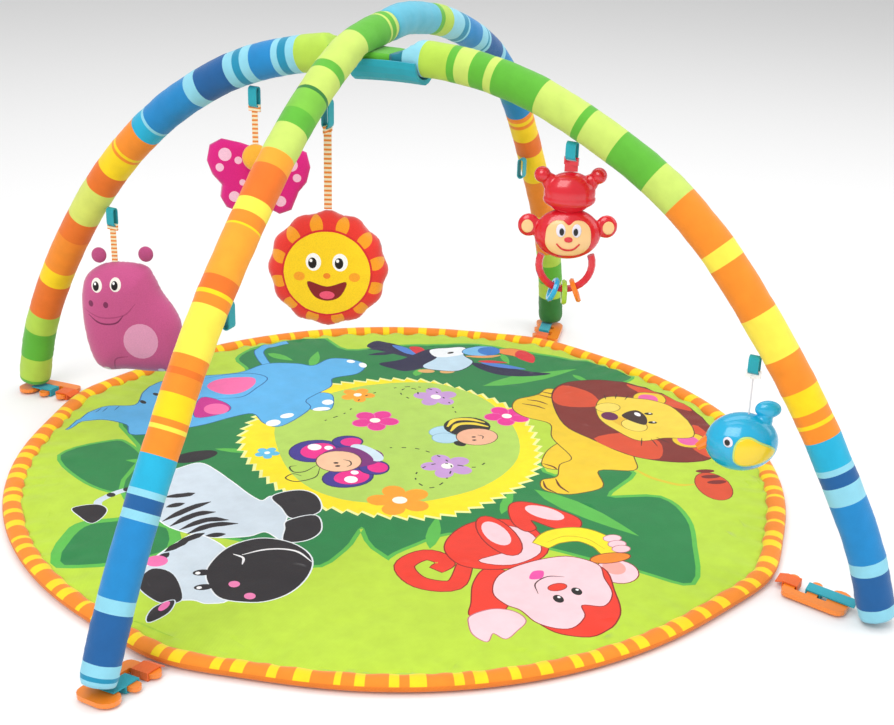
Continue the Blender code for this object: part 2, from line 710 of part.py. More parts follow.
def add_bird():
    """A hollow shell that slides down its cord; the cord winds off a spool inside."""
    link = 0.009
    pivot = add_ribbon("bird", link, 0.0050, "DDE6EA", 0.0050)
    shell_z = -link - BIRD_TOP
    radii = (0.0345, 0.0240, 0.0285)
    middle = shell_z - radii[2] + 0.0010
    cord_x = 0.0040

    outside = ball((0, 0, 0), radii, 24, 14)
    tail = rod_between((0.017, 0, 0.016), (0.0215, 0, 0.029), 0.0085, 0.0075, 12)
    outside = combine(outside, tail)
    outside = combine(outside, ball((0.0215, 0, 0.0335), (0.0125, 0.0070, 0.0085), 14, 8))
    hollow = ball((0, 0, 0), [r - 0.0028 for r in radii], 20, 12)
    bore = rod_between((cord_x, 0, 0.010), (cord_x, 0, 0.050), 0.0016, 0.0016, 10)
    inside = combine(hollow, bore)
    shell = combine(outside, inside, "DIFFERENCE")
    toy_piece("bird_shell", shell, pivot, (-cord_x, 0, middle), "12AEDC", 0.2)

    wing = [(-0.0135, 0.004), (-0.008, 0.0125), (0.000, 0.0135), (0.010, 0.0085), (0.0215, 0.0035),
            (0.0250, -0.0020), (0.0200, -0.0080), (0.0080, -0.0125), (-0.0050, -0.0135),
            (-0.0125, -0.0080)]
    wing = inlay([(x + 0.003, z - 0.001) for x, z in wing], radii, 24, 14, 0.0016)
    toy_piece("bird_wing", wing, pivot, (-cord_x, 0, middle), "F5D216", 0.3)

    beak = rod_between((-0.0290, 0, 0.0010), (-0.0415, 0, -0.0070), 0.0072, 0.0032, 10)
    beak = combine(beak, ball((0, 0, 0), [r + GAP for r in radii], 24, 14), "DIFFERENCE")
    toy_piece("bird_beak", beak, pivot, (-cord_x, 0, middle), "F58220", 0.3)

    spool = bmesh.new()
    bmesh.ops.create_cone(spool, cap_ends=True, segments=16, radius1=SPOOL_RADIUS,
                          radius2=SPOOL_RADIUS, depth=0.010)
    bmesh.ops.transform(spool, matrix=Matrix.Rotation(math.pi / 2, 4, "X"), verts=spool.verts)
    spool_x = SPOOL_RADIUS + BIRD_CORD_RADIUS + 0.0004
    toy_piece("bird_spool", spool, pivot, (spool_x, 0, middle), "F2F2EE", 0.4)

    curve = bpy.data.curves.new("bird_cord", "CURVE")
    curve.dimensions = "3D"
    curve.bevel_depth = BIRD_CORD_RADIUS
    curve.bevel_resolution = 2
    curve.use_fill_caps = True
    spline = curve.splines.new("POLY")
    start = -link - GAP
    end = shell_z - BIRD_TRAVEL - 0.006
    count = 30
    spline.points.add(count)
    for i, point in enumerate(spline.points):
        z = start + (end - start) * i / count
        point.co = (pivot.x, pivot.y, pivot.z + z, 1.0)
    cord = bpy.data.objects.new("bird_cord", curve)
    material = bpy.data.materials.new("bird_cord_material")
    material.use_nodes = True
    material.node_tree.nodes["Principled BSDF"].inputs["Base Color"].default_value = srgb("E6E6EA")
    curve.materials.append(material)
    bpy.context.scene.collection.objects.link(cord)


# ---------------------------------------------------------------- build

clear_scene()
add_mat()
for leg_name in LEGS:
    add_arch_half(leg_name)
    add_foot(leg_name)
for arch_key in ARCHES:
    add_ferrule(arch_key)
add_crown_cuff()
for loop_name in LOOPS:
    add_toy_loop(loop_name)
add_hippo()
add_butterfly()
add_sun()
add_monkey()
add_bird()
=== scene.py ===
import json
import math

import bmesh
import bpy
from mathutils import Matrix, Vector, noise
from mathutils.geometry import delaunay_2d_cdt


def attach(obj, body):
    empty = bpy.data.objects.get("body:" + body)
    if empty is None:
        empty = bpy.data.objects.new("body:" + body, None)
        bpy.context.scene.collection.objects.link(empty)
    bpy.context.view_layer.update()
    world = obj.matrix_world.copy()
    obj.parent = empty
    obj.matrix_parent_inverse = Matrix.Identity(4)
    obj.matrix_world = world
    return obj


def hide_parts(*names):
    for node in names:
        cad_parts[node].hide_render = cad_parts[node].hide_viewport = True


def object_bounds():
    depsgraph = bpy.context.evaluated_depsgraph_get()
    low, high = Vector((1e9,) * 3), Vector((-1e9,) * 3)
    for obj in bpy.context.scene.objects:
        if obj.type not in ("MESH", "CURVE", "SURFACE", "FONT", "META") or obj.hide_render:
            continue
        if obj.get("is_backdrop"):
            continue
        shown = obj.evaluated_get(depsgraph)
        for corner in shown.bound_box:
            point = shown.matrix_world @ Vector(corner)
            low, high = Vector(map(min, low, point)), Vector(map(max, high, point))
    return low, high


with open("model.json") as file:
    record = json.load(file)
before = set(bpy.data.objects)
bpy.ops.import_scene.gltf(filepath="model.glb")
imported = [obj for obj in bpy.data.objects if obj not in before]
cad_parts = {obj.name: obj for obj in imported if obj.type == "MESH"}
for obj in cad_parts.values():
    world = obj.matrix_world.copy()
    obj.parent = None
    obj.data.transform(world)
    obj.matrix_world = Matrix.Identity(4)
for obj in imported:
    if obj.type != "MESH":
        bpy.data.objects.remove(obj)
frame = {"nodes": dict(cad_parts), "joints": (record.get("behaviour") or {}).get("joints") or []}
CAD_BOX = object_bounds()

# ---------------------------------------------------------------- mat pad
# A round quilted pad of printed woven polyester over thin foam. The jungle picture is printed
# on the cloth; the pad puckers where it is sewn into its stuffed edge.

MAT = Vector((0.0, 0.0052, 0.0))
MAT_RADIUS = 0.425
BINDING = 0.021
TAB_PULL = 0.010
TAB_SPREAD = 8.0
TAB_AZIMUTHS = (-134.9, -48.8, 137.8, 46.7)


def linear(hexcode):
    """An sRGB web colour as Blender's linear RGBA."""
    parts = [int(hexcode[i:i + 2], 16) / 255 for i in (0, 2, 4)]
    return [c / 12.92 if c <= 0.04045 else ((c + 0.055) / 1.055) ** 2.4 for c in parts] + [1.0]


def add_node(tree, kind, settings=None, links=None):
    """Add a node, set its properties or sockets by name, and link its inputs."""
    made = tree.nodes.new(kind)
    for key, value in (settings or {}).items():
        if isinstance(key, str) and hasattr(made, key) and key not in made.inputs:
            setattr(made, key, value)
        else:
            made.inputs[key].default_value = value
    for key, socket in (links or {}).items():
        tree.links.new(socket, made.inputs[key])
    return made


def new_material(name, roughness, sheen=0.0, coat=0.0, metallic=0.0):
    """An empty Principled material: returns it with its tree and its shader."""
    material = bpy.data.materials.new(name)
    material.use_nodes = True
    tree = material.node_tree
    shader = tree.nodes["Principled BSDF"]
    for key, value in (("Roughness", roughness), ("Sheen Weight", sheen), ("Coat Weight", coat),
                       ("Metallic", metallic), ("Coat Roughness", 0.1), ("Sheen Roughness", 0.4)):
        shader.inputs[key].default_value = value
    return material, tree, shader


def woven_cloth(name, hexcode=None, thread=0.0011, depth=0.25, roughness=0.82, sheen=0.25, uv=True):
    """Woven polyester: two crossed sets of threads in relief, and a soft unevenness of the dye.

    The real threads are 0.3 mm; they are drawn a little coarser so that they show.
    """
    material, tree, shader = new_material(name, roughness, sheen)
    place = add_node(tree, "ShaderNodeUVMap" if uv else "ShaderNodeTexCoord")
    spot = place.outputs["UV" if uv else "Object"]
    threads = []
    for axis in ("X", "Y"):
        wave = add_node(tree, "ShaderNodeTexWave",
                        {"bands_direction": axis, "Scale": 0.314 / thread, "Distortion": 0.4,
                         "Detail": 1.0, "Detail Scale": 2.0}, {"Vector": spot})
        threads.append(wave.outputs["Fac"])
    weave = add_node(tree, "ShaderNodeMath", {"operation": "MULTIPLY"},
                     {0: threads[0], 1: threads[1]})
    soft = add_node(tree, "ShaderNodeTexNoise", {"Scale": 60.0, "Detail": 3.0}, {"Vector": spot})
    height = add_node(tree, "ShaderNodeMath", {"operation": "MULTIPLY_ADD", 1: 2.0},
                      {0: soft.outputs["Fac"], 2: weave.outputs[0]})
    bump = add_node(tree, "ShaderNodeBump", {"Strength": depth, "Distance": 0.0006},
                    {"Height": height.outputs[0]})
    if hexcode:
        dye = add_node(tree, "ShaderNodeRGB")
        dye.outputs[0].default_value = linear(hexcode)
        colour = dye.outputs[0]
    else:
        colour = add_node(tree, "ShaderNodeAttribute", {"attribute_name": "dye"}).outputs["Color"]
    tone = add_node(tree, "ShaderNodeMapRange", {"From Min": 0.25, "From Max": 0.75, "To Min": 0.93,
                                                 "To Max": 1.05}, {"Value": soft.outputs["Fac"]})
    grain = add_node(tree, "ShaderNodeMapRange", {"To Min": 0.93, "To Max": 1.03},
                     {"Value": weave.outputs[0]})
    both = add_node(tree, "ShaderNodeMath", {"operation": "MULTIPLY"},
                    {0: tone.outputs[0], 1: grain.outputs[0]})
    shade = add_node(tree, "ShaderNodeVectorMath", {"operation": "SCALE"},
                     {0: colour, "Scale": both.outputs[0]})
    tree.links.new(shade.outputs[0], shader.inputs["Base Color"])
    tree.links.new(bump.outputs[0], shader.inputs["Normal"])
    return material


def mesh_piece(name, points, faces, material, dyes=None, uvs=None, smooth=True):
    """A finished mesh object; dyes is one colour a face, uvs one pair a point."""
    mesh = bpy.data.meshes.new(name)
    mesh.from_pydata([tuple(p) for p in points], [], faces)
    mesh.materials.append(material)
    if dyes:
        table = {h: linear(h) for h in set(dyes)}
        layer = mesh.color_attributes.new("dye", "FLOAT_COLOR", "CORNER")
        values = [c for face, dye in zip(mesh.polygons, dyes) for _ in face.vertices
                  for c in table[dye]]
        layer.data.foreach_set("color", values)
    if uvs:
        layer = mesh.uv_layers.new(name="UVMap")
        layer.data.foreach_set("uv", [c for loop in mesh.loops for c in uvs[loop.vertex_index]])
    mesh.polygons.foreach_set("use_smooth", [smooth] * len(mesh.polygons))
    obj = bpy.data.objects.new(name, mesh)
    bpy.context.scene.collection.objects.link(obj)
    return obj


def fix_normals(obj):
    """Turn every face outwards."""
    bm = bmesh.new()
    bm.from_mesh(obj.data)
    bmesh.ops.recalc_face_normals(bm, faces=bm.faces)
    bm.to_mesh(obj.data)
    bm.free()


def oval(x, y, rx, ry, turn=0.0, count=22):
    """Points round an ellipse, turned by degrees."""
    c, s = math.cos(math.radians(turn)), math.sin(math.radians(turn))
    out = []
    for i in range(count):
        u, v = rx * math.cos(2 * math.pi * i / count), ry * math.sin(2 * math.pi * i / count)
        out.append((x + u * c - v * s, y + u * s + v * c))
    return out


def curve_points(points, closed, steps=5):
    """A smooth curve through given points."""
    line = [Vector(p) for p in points]
    if closed:
        line = [line[-1], *line, line[0], line[1]]
    else:
        line = [2 * line[0] - line[1], *line, 2 * line[-1] - line[-2]]
    out = []
    for p0, p1, p2, p3 in zip(line, line[1:], line[2:], line[3:]):
        for i in range(steps):
            t = i / steps
            out.append(0.5 * (2 * p1 + (p2 - p0) * t + (2 * p0 - 5 * p1 + 4 * p2 - p3) * t * t
                              + (3 * p1 - p0 - 3 * p2 + p3) * t ** 3))
    if not closed:
        out.append(line[-2])
    return [tuple(p) for p in out]


def blob(*points):
    return curve_points(points, True)


def stroke(points, width, steps=5, tip=0.35):
    """The outline of a brush line through the points, thinner at its ends."""
    line = [Vector(p) for p in curve_points(points, False, steps)]
    left, right = [], []
    for i, p in enumerate(line):
        way = (line[min(i + 1, len(line) - 1)] - line[max(i - 1, 0)]).normalized()
        ends = min(i, len(line) - 1 - i) / max(1, len(line) / 4)
        half = width / 2 * (tip + (1 - tip) * min(1.0, ends))
        side = Vector((-way.y, way.x)) * half
        left.append(tuple(p + side))
        right.append(tuple(p - side))
    return left + right[::-1]


def leaf(x, y, length, width, turn):
    """A pointed leaf from its foot at x, y."""
    c, s = math.cos(math.radians(turn)), math.sin(math.radians(turn))
    shape = [(t, width / 2 * math.sin(math.pi * t ** 0.8)) for t in (0.0, 0.15, 0.35, 0.6, 0.8, 0.92)]
    shape = shape + [(1.0, 0.0)] + [(t, -w) for t, w in shape[:0:-1]]
    return [(x + t * length * c - w * s, y + t * length * s + w * c) for t, w in shape]


def grown(outline, amount):
    """The outline pushed outwards, for an edge line behind a shape."""
    area = sum(a[0] * b[1] - b[0] * a[1] for a, b in zip(outline, outline[1:] + outline[:1]))
    side = 1 if area > 0 else -1
    out = []
    for i, p in enumerate(outline):
        a, b = Vector(outline[i - 1]), Vector(outline[(i + 1) % len(outline)])
        way = (b - a).normalized() if (b - a).length > 1e-9 else Vector((1, 0))
        out.append((p[0] + way.y * amount * side, p[1] - way.x * amount * side))
    return out


def anticlockwise(outline):
    area = sum(a[0] * b[1] - b[0] * a[1] for a, b in zip(outline, outline[1:] + outline[:1]))
    return outline if area > 0 else outline[::-1]


def painted(shapes, rim, spacing):
    """Cut a flat region into triangles along every printed edge.

    shapes are (colour, outline) pairs, later ones on top. It returns points, triangles and the
    colour of each triangle; a square grid of inner points keeps the triangles even.
    """
    loops = [anticlockwise(outline) for outline in [rim] + [outline for _, outline in shapes]]
    points, faces = [], []
    for outline in loops:
        faces.append(list(range(len(points), len(points) + len(outline))))
        points += [Vector(p) for p in outline]
    xs, ys = [p[0] for p in rim], [p[1] for p in rim]
    x = min(xs) + spacing / 2
    row = 0
    while x < max(xs):
        y = min(ys) + spacing * (0.5 if row % 2 else 1.0)
        while y < max(ys):
            points.append(Vector((x, y)))
            y += spacing
        x += spacing * 0.87
        row += 1
    made = delaunay_2d_cdt(points, [], faces, 0, spacing * 1e-3, True)
    spots, tris, owners = made[0], made[2], made[5]
    kept = [(tri, max(own)) for tri, own in zip(tris, owners) if own and 0 in own]
    colours = [None] + [hexcode for hexcode, _ in shapes]
    return [tuple(p) for p in spots], [t for t, _ in kept], [colours[i] for _, i in kept]


def edged(shapes, hexcode, width, outline, edge):
    """Add a printed shape with a darker line round it."""
    shapes.append((edge, grown(outline, width)))
    shapes.append((hexcode, outline))


def flower(shapes, x, y, r, hexcode, turn=0.0, edge=None, heart="FFFFF0"):
    for k in range(5):
        a = math.radians(turn + 72 * k)
        px, py = x + 0.62 * r * math.cos(a), y + 0.62 * r * math.sin(a)
        if edge:
            shapes.append((edge, oval(px, py, 0.47 * r, 0.42 * r, turn + 72 * k, 14)))
        shapes.append((hexcode, oval(px, py, 0.42 * r, 0.37 * r, turn + 72 * k, 14)))
    shapes.append((hexcode, oval(x, y, 0.35 * r, 0.35 * r, 0, 12)))
    shapes.append((heart, oval(x, y, 0.24 * r, 0.24 * r, 0, 12)))


def dashes(shapes, points, hexcode="1E2A1A"):
    line = [Vector(p) for p in curve_points(points, False, 12)]
    run, start = 0.0, line[0]
    dash = []
    for a, b in zip(line, line[1:]):
        run += (b - a).length
        if run % 15 < 8:
            dash.append(tuple(b))
        else:
            if len(dash) > 1:
                shapes.append((hexcode, stroke(dash, 1.8, 1, 1.0)))
            dash = []


def ground_print(shapes):
    """Lime field with pale leaves, dark leaves round a clearing, and the clearing itself."""
    pale, dark, mid = "C0D838", "178040", "57B947"
    for x, y, r in ((-180, -268, 14), (-127, -238, 10), (-330, 165, 17), (-255, 275, 13),
                    (-350, 140, 10), (-85, -215, 9), (360, -160, 12), (-375, 60, 13)):
        shapes.append((pale, oval(x, y, r, r * 0.8)))
    shapes.append(("B4D53C", oval(-120, -345, 78, 66)))
    shapes.append(("A3CC33", oval(-120, -350, 62, 50)))
    shapes.append((pale, leaf(-122, -352, 56, 34, 88)))
    for turn in (20, 70, 118, 160):
        shapes.append(("B4D53C", leaf(40, -385, 90, 26, turn)))
    for x, y, turn in ((150, -350, 70), (185, -345, 105), (-375, -60, 80), (-380, 20, 70),
                       (-225, -345, 120), (-290, -300, 125), (330, -90, -70), (300, -180, -95),
                       (-40, -300, 150), (370, -120, -100)):
        shapes.append(("B9D93A", leaf(x, y, 90, 26, turn)))
    shapes.append((mid, blob((-380, -128), (-362, -52), (-320, -42), (-262, -60), (-270, -133))))
    shapes.append((dark, blob((-372, -125), (-352, -60), (-320, -50), (-272, -64), (-280, -125))))
    edge = [(-358, 119), (-300, 142), (-283, 128), (-272, 90), (-270, 40), (-300, 12), (-335, 45)]
    shapes.append((mid, grown(blob(*edge), 4)))
    shapes.append((dark, blob(*edge)))
    big = [(-282, 196), (-220, 165), (-150, 180), (-110, 300), (-115, 352), (-78, 385), (0, 402),
           (28, 345), (100, 342), (150, 332), (205, 318), (290, 252), (352, 208), (362, 168),
           (330, 150), (250, 140), (190, 110), (150, -60), (214, -68), (246, -88), (196, -132),
           (250, -150), (256, -200), (236, -255), (203, -318), (165, -285), (90, -215),
           (20, -165), (-35, -176), (-76, -205), (-66, -262), (-40, -258), (-74, -172),
           (-76, -128), (-106, -168), (-146, -190), (-200, -120), (-270, -70), (-300, 20),
           (-268, 100)]
    shapes.append((mid, grown(curve_points(big, True, 4), 5)))
    shapes.append((dark, curve_points(big, True, 4)))
    for x, y, length, width, turn in ((126, -96, 142, 26, -62), (72, -140, 60, 12, 58),
                                      (-22, -190, 70, 15, 66), (165, 186, 140, 26, 9),
                                      (-30, 300, 55, 14, 68), (-75, 360, 42, 15, -50),
                                      (-205, 20, 85, 12, -60), (290, 192, 32, 9, -70),
                                      (-190, 92, 60, 10, -25), (225, 282, 38, 10, -95),
                                      (92, 238, 26, 12, 60), (-290, 88, 60, 12, -25)):
        shapes.append((mid, leaf(x, y, length, width, turn)))
    teeth = 64
    for radius, hexcode in ((1.0, "F4F5A0"), (0.975, "FCE600")):
        ring = []
        for i in range(2 * teeth):
            a = 2 * math.pi * i / (2 * teeth) + (0.035 if i % 2 else 0.0)
            r = radius * (1.0 if i % 2 else 0.955) + 0.012 * math.sin(7 * a) + 0.01 * math.sin(3 * a)
            ring.append((10 + 176 * r * math.cos(a), 60 + 191 * r * math.sin(a)))
        shapes.append((hexcode, ring))
    shapes.append(("B4D85A", blob((-122, 60), (-105, 150), (-40, 205), (40, 226), (110, 206),
                                  (152, 150), (160, 60), (135, -20), (75, -75), (0, -92),
                                  (-70, -72), (-112, -20))))


def clearing_print(shapes):
    """Flowers, a winged bug, a bee and their flight lines."""
    flower(shapes, -22, -82, 34, "FDA51E", 20)
    flower(shapes, 6, 120, 27, "EA2A94", 45, "F06AB4")
    flower(shapes, 163, 92, 26, "EA2A94", 30, "F06AB4")
    flower(shapes, 97, 168, 27, "C89BD6", 10)
    flower(shapes, 52, -18, 29, "C89BD6", 25)
    flower(shapes, 5, 198, 21, "FDA51E", 50)
    flower(shapes, -135, 66, 14, "5FC0E8", 45)
    dashes(shapes, [(-55, 133), (-20, 152), (10, 190), (58, 208), (95, 195), (108, 150), (106, 108)])
    dashes(shapes, [(64, 170), (58, 188), (66, 202), (80, 196), (76, 172)])
    dashes(shapes, [(0, 44), (30, 34), (50, 8), (56, -20), (38, -52), (18, -64), (8, -45),
                    (18, -20), (46, -10), (80, -28), (100, -18)])
    for x, y, rx, ry, turn in ((-82, 58, 30, 26, 30), (-40, 72, 17, 16, 0),
                               (-62, -16, 28, 23, 10), (-28, 0, 16, 17, 0)):
        edged(shapes, "3B2C90", 1.5, oval(x, y, rx, ry, turn), "2A1860")
        shapes.append(("EE1E8C", oval(x + 4, y - 1, rx * 0.72, ry * 0.72, turn)))
    for x, y, r in ((-80, 67, 8), (-65, 61, 5), (-60, -22, 7.5), (-52, -7, 4.5)):
        shapes.append(("FFFFFF", oval(x, y, r, r * 1.1, 0, 14)))
    shapes.append(("7B1D78", oval(-45, 32, 36, 27, -10)))
    shapes.append(("D3E8F4", oval(-26, 38, 12, 27, 22)))
    shapes.append(("7B1D78", oval(-38, 35, 12, 26, 22)))
    edged(shapes, "F9C7A0", 1.2, oval(-62, 25, 25, 26), "5B2C30")
    for x, y in ((-66, 22), (-66, 14)):
        shapes.append(("20120E", oval(x, y, 2.2, 3.0, 80, 10)))
    shapes.append(("20120E", stroke([(-56, 28), (-50, 22), (-51, 13), (-57, 9)], 1.6)))
    shapes.append(("20120E", stroke([(-86, 15), (-96, -6), (-118, -12), (-128, 0), (-118, 8),
                                     (-110, 0)], 1.8)))
    shapes.append(("20120E", stroke([(-88, 22), (-104, 10), (-116, 12), (-118, 25), (-110, 26)], 1.8)))
    edged(shapes, "B6DCEF", 1.0, oval(75, 70, 17, 14, 20), "7AA9C4")
    edged(shapes, "B6DCEF", 1.0, oval(72, 52, 15, 13, -20), "7AA9C4")
    shapes.append(("1A1612", oval(107, 76, 28, 27, 0)))
    for lift in (0, 13):
        shapes.append(("F5D93C", stroke([(84, 68 + lift), (98, 84 + lift), (116, 82 + lift),
                                         (131, 68 + lift)], 6.5)))
    shapes.append(("1A1612", oval(84, 34, 6, 8, 30)))
    edged(shapes, "F4B795", 1.0, oval(109, 46, 24, 22), "503020")
    for x, y in ((105, 46), (103, 38)):
        shapes.append(("20120E", oval(x, y, 1.8, 2.6, 80, 10)))
    shapes.append(("20120E", stroke([(111, 50), (116, 45), (113, 38)], 1.4)))


def elephant_print(shapes):
    blue, line = "58B2E8", "1B5E9C"
    edged(shapes, blue, 1.2, stroke([(-84, 318), (-86, 345), (-84, 372), (-66, 388), (-42, 392)],
                                    11, 5, 0.9), line)
    edged(shapes, blue, 1.2, blob((-26, 205), (-38, 165), (-62, 172), (-66, 200), (-42, 216)), line)
    edged(shapes, blue, 1.4,
          blob((-347, 186), (-328, 214), (-300, 240), (-262, 236), (-246, 276), (-222, 300),
               (-185, 306), (-125, 304), (-84, 324), (-46, 316), (-26, 304), (2, 322), (30, 308),
               (38, 288), (22, 266), (-12, 258), (-22, 232), (-60, 200), (-62, 172), (-104, 134),
               (-122, 146), (-130, 178), (-160, 172), (-200, 158), (-272, 152), (-278, 184),
               (-304, 204), (-328, 204)), line)
    shapes.append((line, stroke([(-178, 296), (-120, 302), (-92, 280), (-112, 250), (-135, 228),
                                 (-170, 232)], 1.6)))
    shapes.append(("F56AA8", blob((-170, 270), (-150, 290), (-112, 286), (-110, 266), (-130, 242),
                                  (-155, 242))))
    edged(shapes, "C8178A", 1.0, blob((-198, 182), (-182, 238), (-156, 214), (-158, 190)), line)
    shapes.append(("F56AA8", oval(-170, 200, 15, 16)))
    for x, y, rx, ry, turn in ((-112, 144, 10, 8, 40), (-92, 160, 9, 6, 20), (-36, 186, 8, 7, 60),
                               (-48, 168, 11, 5, 0), (36, 290, 5, 8, 0), (24, 306, 5, 6, 30)):
        shapes.append(("FFFFFF", oval(x, y, rx, ry, turn, 14)))
    for x, y in ((-252, 243), (-234, 262)):
        shapes.append(("101418", oval(x, y, 3.2, 6.0, 20, 12)))
    for x in (-302, -294, -280):
        shapes.append((line, stroke([(x, 238), (x - 8, 226)], 1.4)))


def toucan_print(shapes):
    navy = "17123F"
    for side in (((58, 350), (76, 368), (96, 352), (112, 326), (126, 298), (112, 292), (84, 318)),
                 ((176, 262), (196, 252), (238, 218), (264, 202), (226, 202), (196, 216),
                  (180, 240))):
        shapes.append((navy, blob(*side)))
    for turn, x, y in ((150, 100, 345), (165, 92, 332), (178, 88, 320), (-40, 190, 232),
                       (-28, 205, 218), (-20, 214, 214)):
        shapes.append((navy, leaf(x, y, 38, 10, turn)))
    shapes.append(("4A7FD0", blob((92, 348), (108, 334), (116, 306), (100, 318))))
    shapes.append(("D8232F", blob((112, 334), (128, 330), (128, 306), (118, 298))))
    shapes.append(("4A7FD0", blob((188, 260), (216, 246), (238, 224), (204, 240))))
    shapes.append(("D8232F", blob((186, 266), (204, 264), (222, 250), (198, 256))))
    shapes.append((navy, blob((58, 290), (90, 296), (135, 322), (142, 300), (120, 268), (86, 256),
                              (70, 270))))
    shapes.append(("E9B06A", oval(110, 250, 11, 6, -20)))
    shapes.append(("E9B06A", oval(136, 242, 10, 6, 0)))
    edged(shapes, "C4DFF0", 1.4, blob((112, 270), (138, 292), (136, 318), (160, 320), (184, 314),
                                      (174, 290), (178, 264), (150, 242), (118, 254)), navy)
    shapes.append(("F4F8FB", blob((138, 292), (136, 318), (160, 320), (184, 314), (172, 292))))
    shapes.append(("14100E", oval(160, 302, 5, 3, 20, 12)))
    edged(shapes, "F08A3C", 1.0, blob((222, 296), (248, 296), (264, 268), (254, 244), (240, 268),
                                      (226, 282)), "8A3A10")
    shapes.append(("D8232F", blob((240, 268), (252, 288), (264, 266), (254, 242))))
    edged(shapes, "79BDEB", 1.0, blob((176, 300), (190, 313), (216, 312), (226, 296), (206, 282),
                                      (184, 288)), "1C3E7A")
    shapes.append(("2F78C8", oval(212, 296, 15, 15)))
    shapes.append(("E9A060", stroke([(176, 286), (200, 278), (222, 278)], 7)))


def lion_print(shapes):
    gold, line = "F0C91E", "6A4A10"
    shapes.append(("D9C52A", stroke([(252, -78), (262, -104), (282, -126), (305, -132)], 5)))
    edged(shapes, "D9481E", 1.0, oval(320, -140, 19, 33, -12), "7A2010")
    for lift in (0, 14, 28):
        shapes.append(("7A1C14", oval(328, -132 + lift, 11, 4.5, -10, 14)))
    edged(shapes, gold, 1.3, blob((206, 6), (178, -8), (156, -44), (172, -58), (196, -46)), line)
    edged(shapes, gold, 1.4,
          blob((262, -60), (250, -82), (212, -72), (200, -110), (160, -116), (137, -100),
               (142, -78), (162, -74), (176, -48), (196, -34), (194, 20), (206, 58), (184, 84),
               (178, 110), (192, 134), (222, 142), (240, 156), (252, 148), (246, 124), (232, 100),
               (250, 40), (270, -10)), line)
    for points in (((143, -79), (140, -96), (146, -110)), ((158, -78), (156, -96), (160, -112)),
                   ((158, -40), (166, -50), (168, -58)), ((222, 144), (234, 132), (242, 126)),
                   ((230, 150), (242, 140), (248, 134)), ((194, 122), (208, 112), (216, 100)),
                   ((204, 132), (216, 124), (224, 112))):
        shapes.append(("6A2A10", stroke(points, 2.6)))
    mane = [(238, 132), (266, 166), (310, 168), (350, 146), (380, 95), (392, 30), (376, -40),
            (346, -78), (300, -72), (262, -44), (240, 0), (222, 52)]
    edged(shapes, "7E1F14", 1.4, blob(*mane), "4A0E0A")
    for wedge in (((238, 132), (264, 162), (290, 130), (282, 92), (240, 104)),
                  ((346, 146), (380, 96), (390, 50), (366, 70), (350, 110)),
                  ((240, 6), (262, -44), (292, -62), (312, -20), (290, 10)),
                  ((372, 12), (376, -38), (352, -76), (342, -40))):
        shapes.append(("DB4A20", curve_points(wedge, True, 4)))
    for x, y in ((352, 96), (346, -26)):
        edged(shapes, gold, 1.2, oval(x + 2, y, 20, 20), line)
        shapes.append(("EC62A8", oval(x, y, 12, 14)))
    edged(shapes, "F5D440", 1.3, blob((270, 58), (284, 98), (306, 114), (338, 100), (366, 76),
                                      (370, 24), (356, -18), (322, -12), (290, -12), (276, 18)), line)
    shapes.append(("E8B92A", blob((280, 64), (300, 50), (318, 28), (306, 10), (288, 24))))
    edged(shapes, "F8DE60", 1.0, oval(292, 84, 15, 13), "9A7A20")
    edged(shapes, "F8DE60", 1.0, oval(302, 28, 14, 17, 10), "9A7A20")
    shapes.append(("6A1650", oval(284, 60, 10, 12)))
    shapes.append(("3A2016", blob((298, 56), (322, 68), (326, 46), (314, 26))))
    shapes.append(("FFFFFF", oval(319, 56, 3.5, 6, 0, 12)))
    for x, y in ((333, 54), (327, 30)):
        shapes.append(("17100A", oval(x, y, 5.5, 3.6, -15, 12)))
        shapes.append(("FFFFFF", oval(x + 2, y + 1, 1.8, 1.4, 0, 8)))
    for points in (((300, 108), (304, 122)), ((312, 106), (320, 120)), ((322, 100), (334, 114)),
                   ((296, -6), (286, -26)), ((306, -10), (304, -32)), ((314, -8), (322, -28))):
        shapes.append(("2A140C", stroke(points, 1.3)))


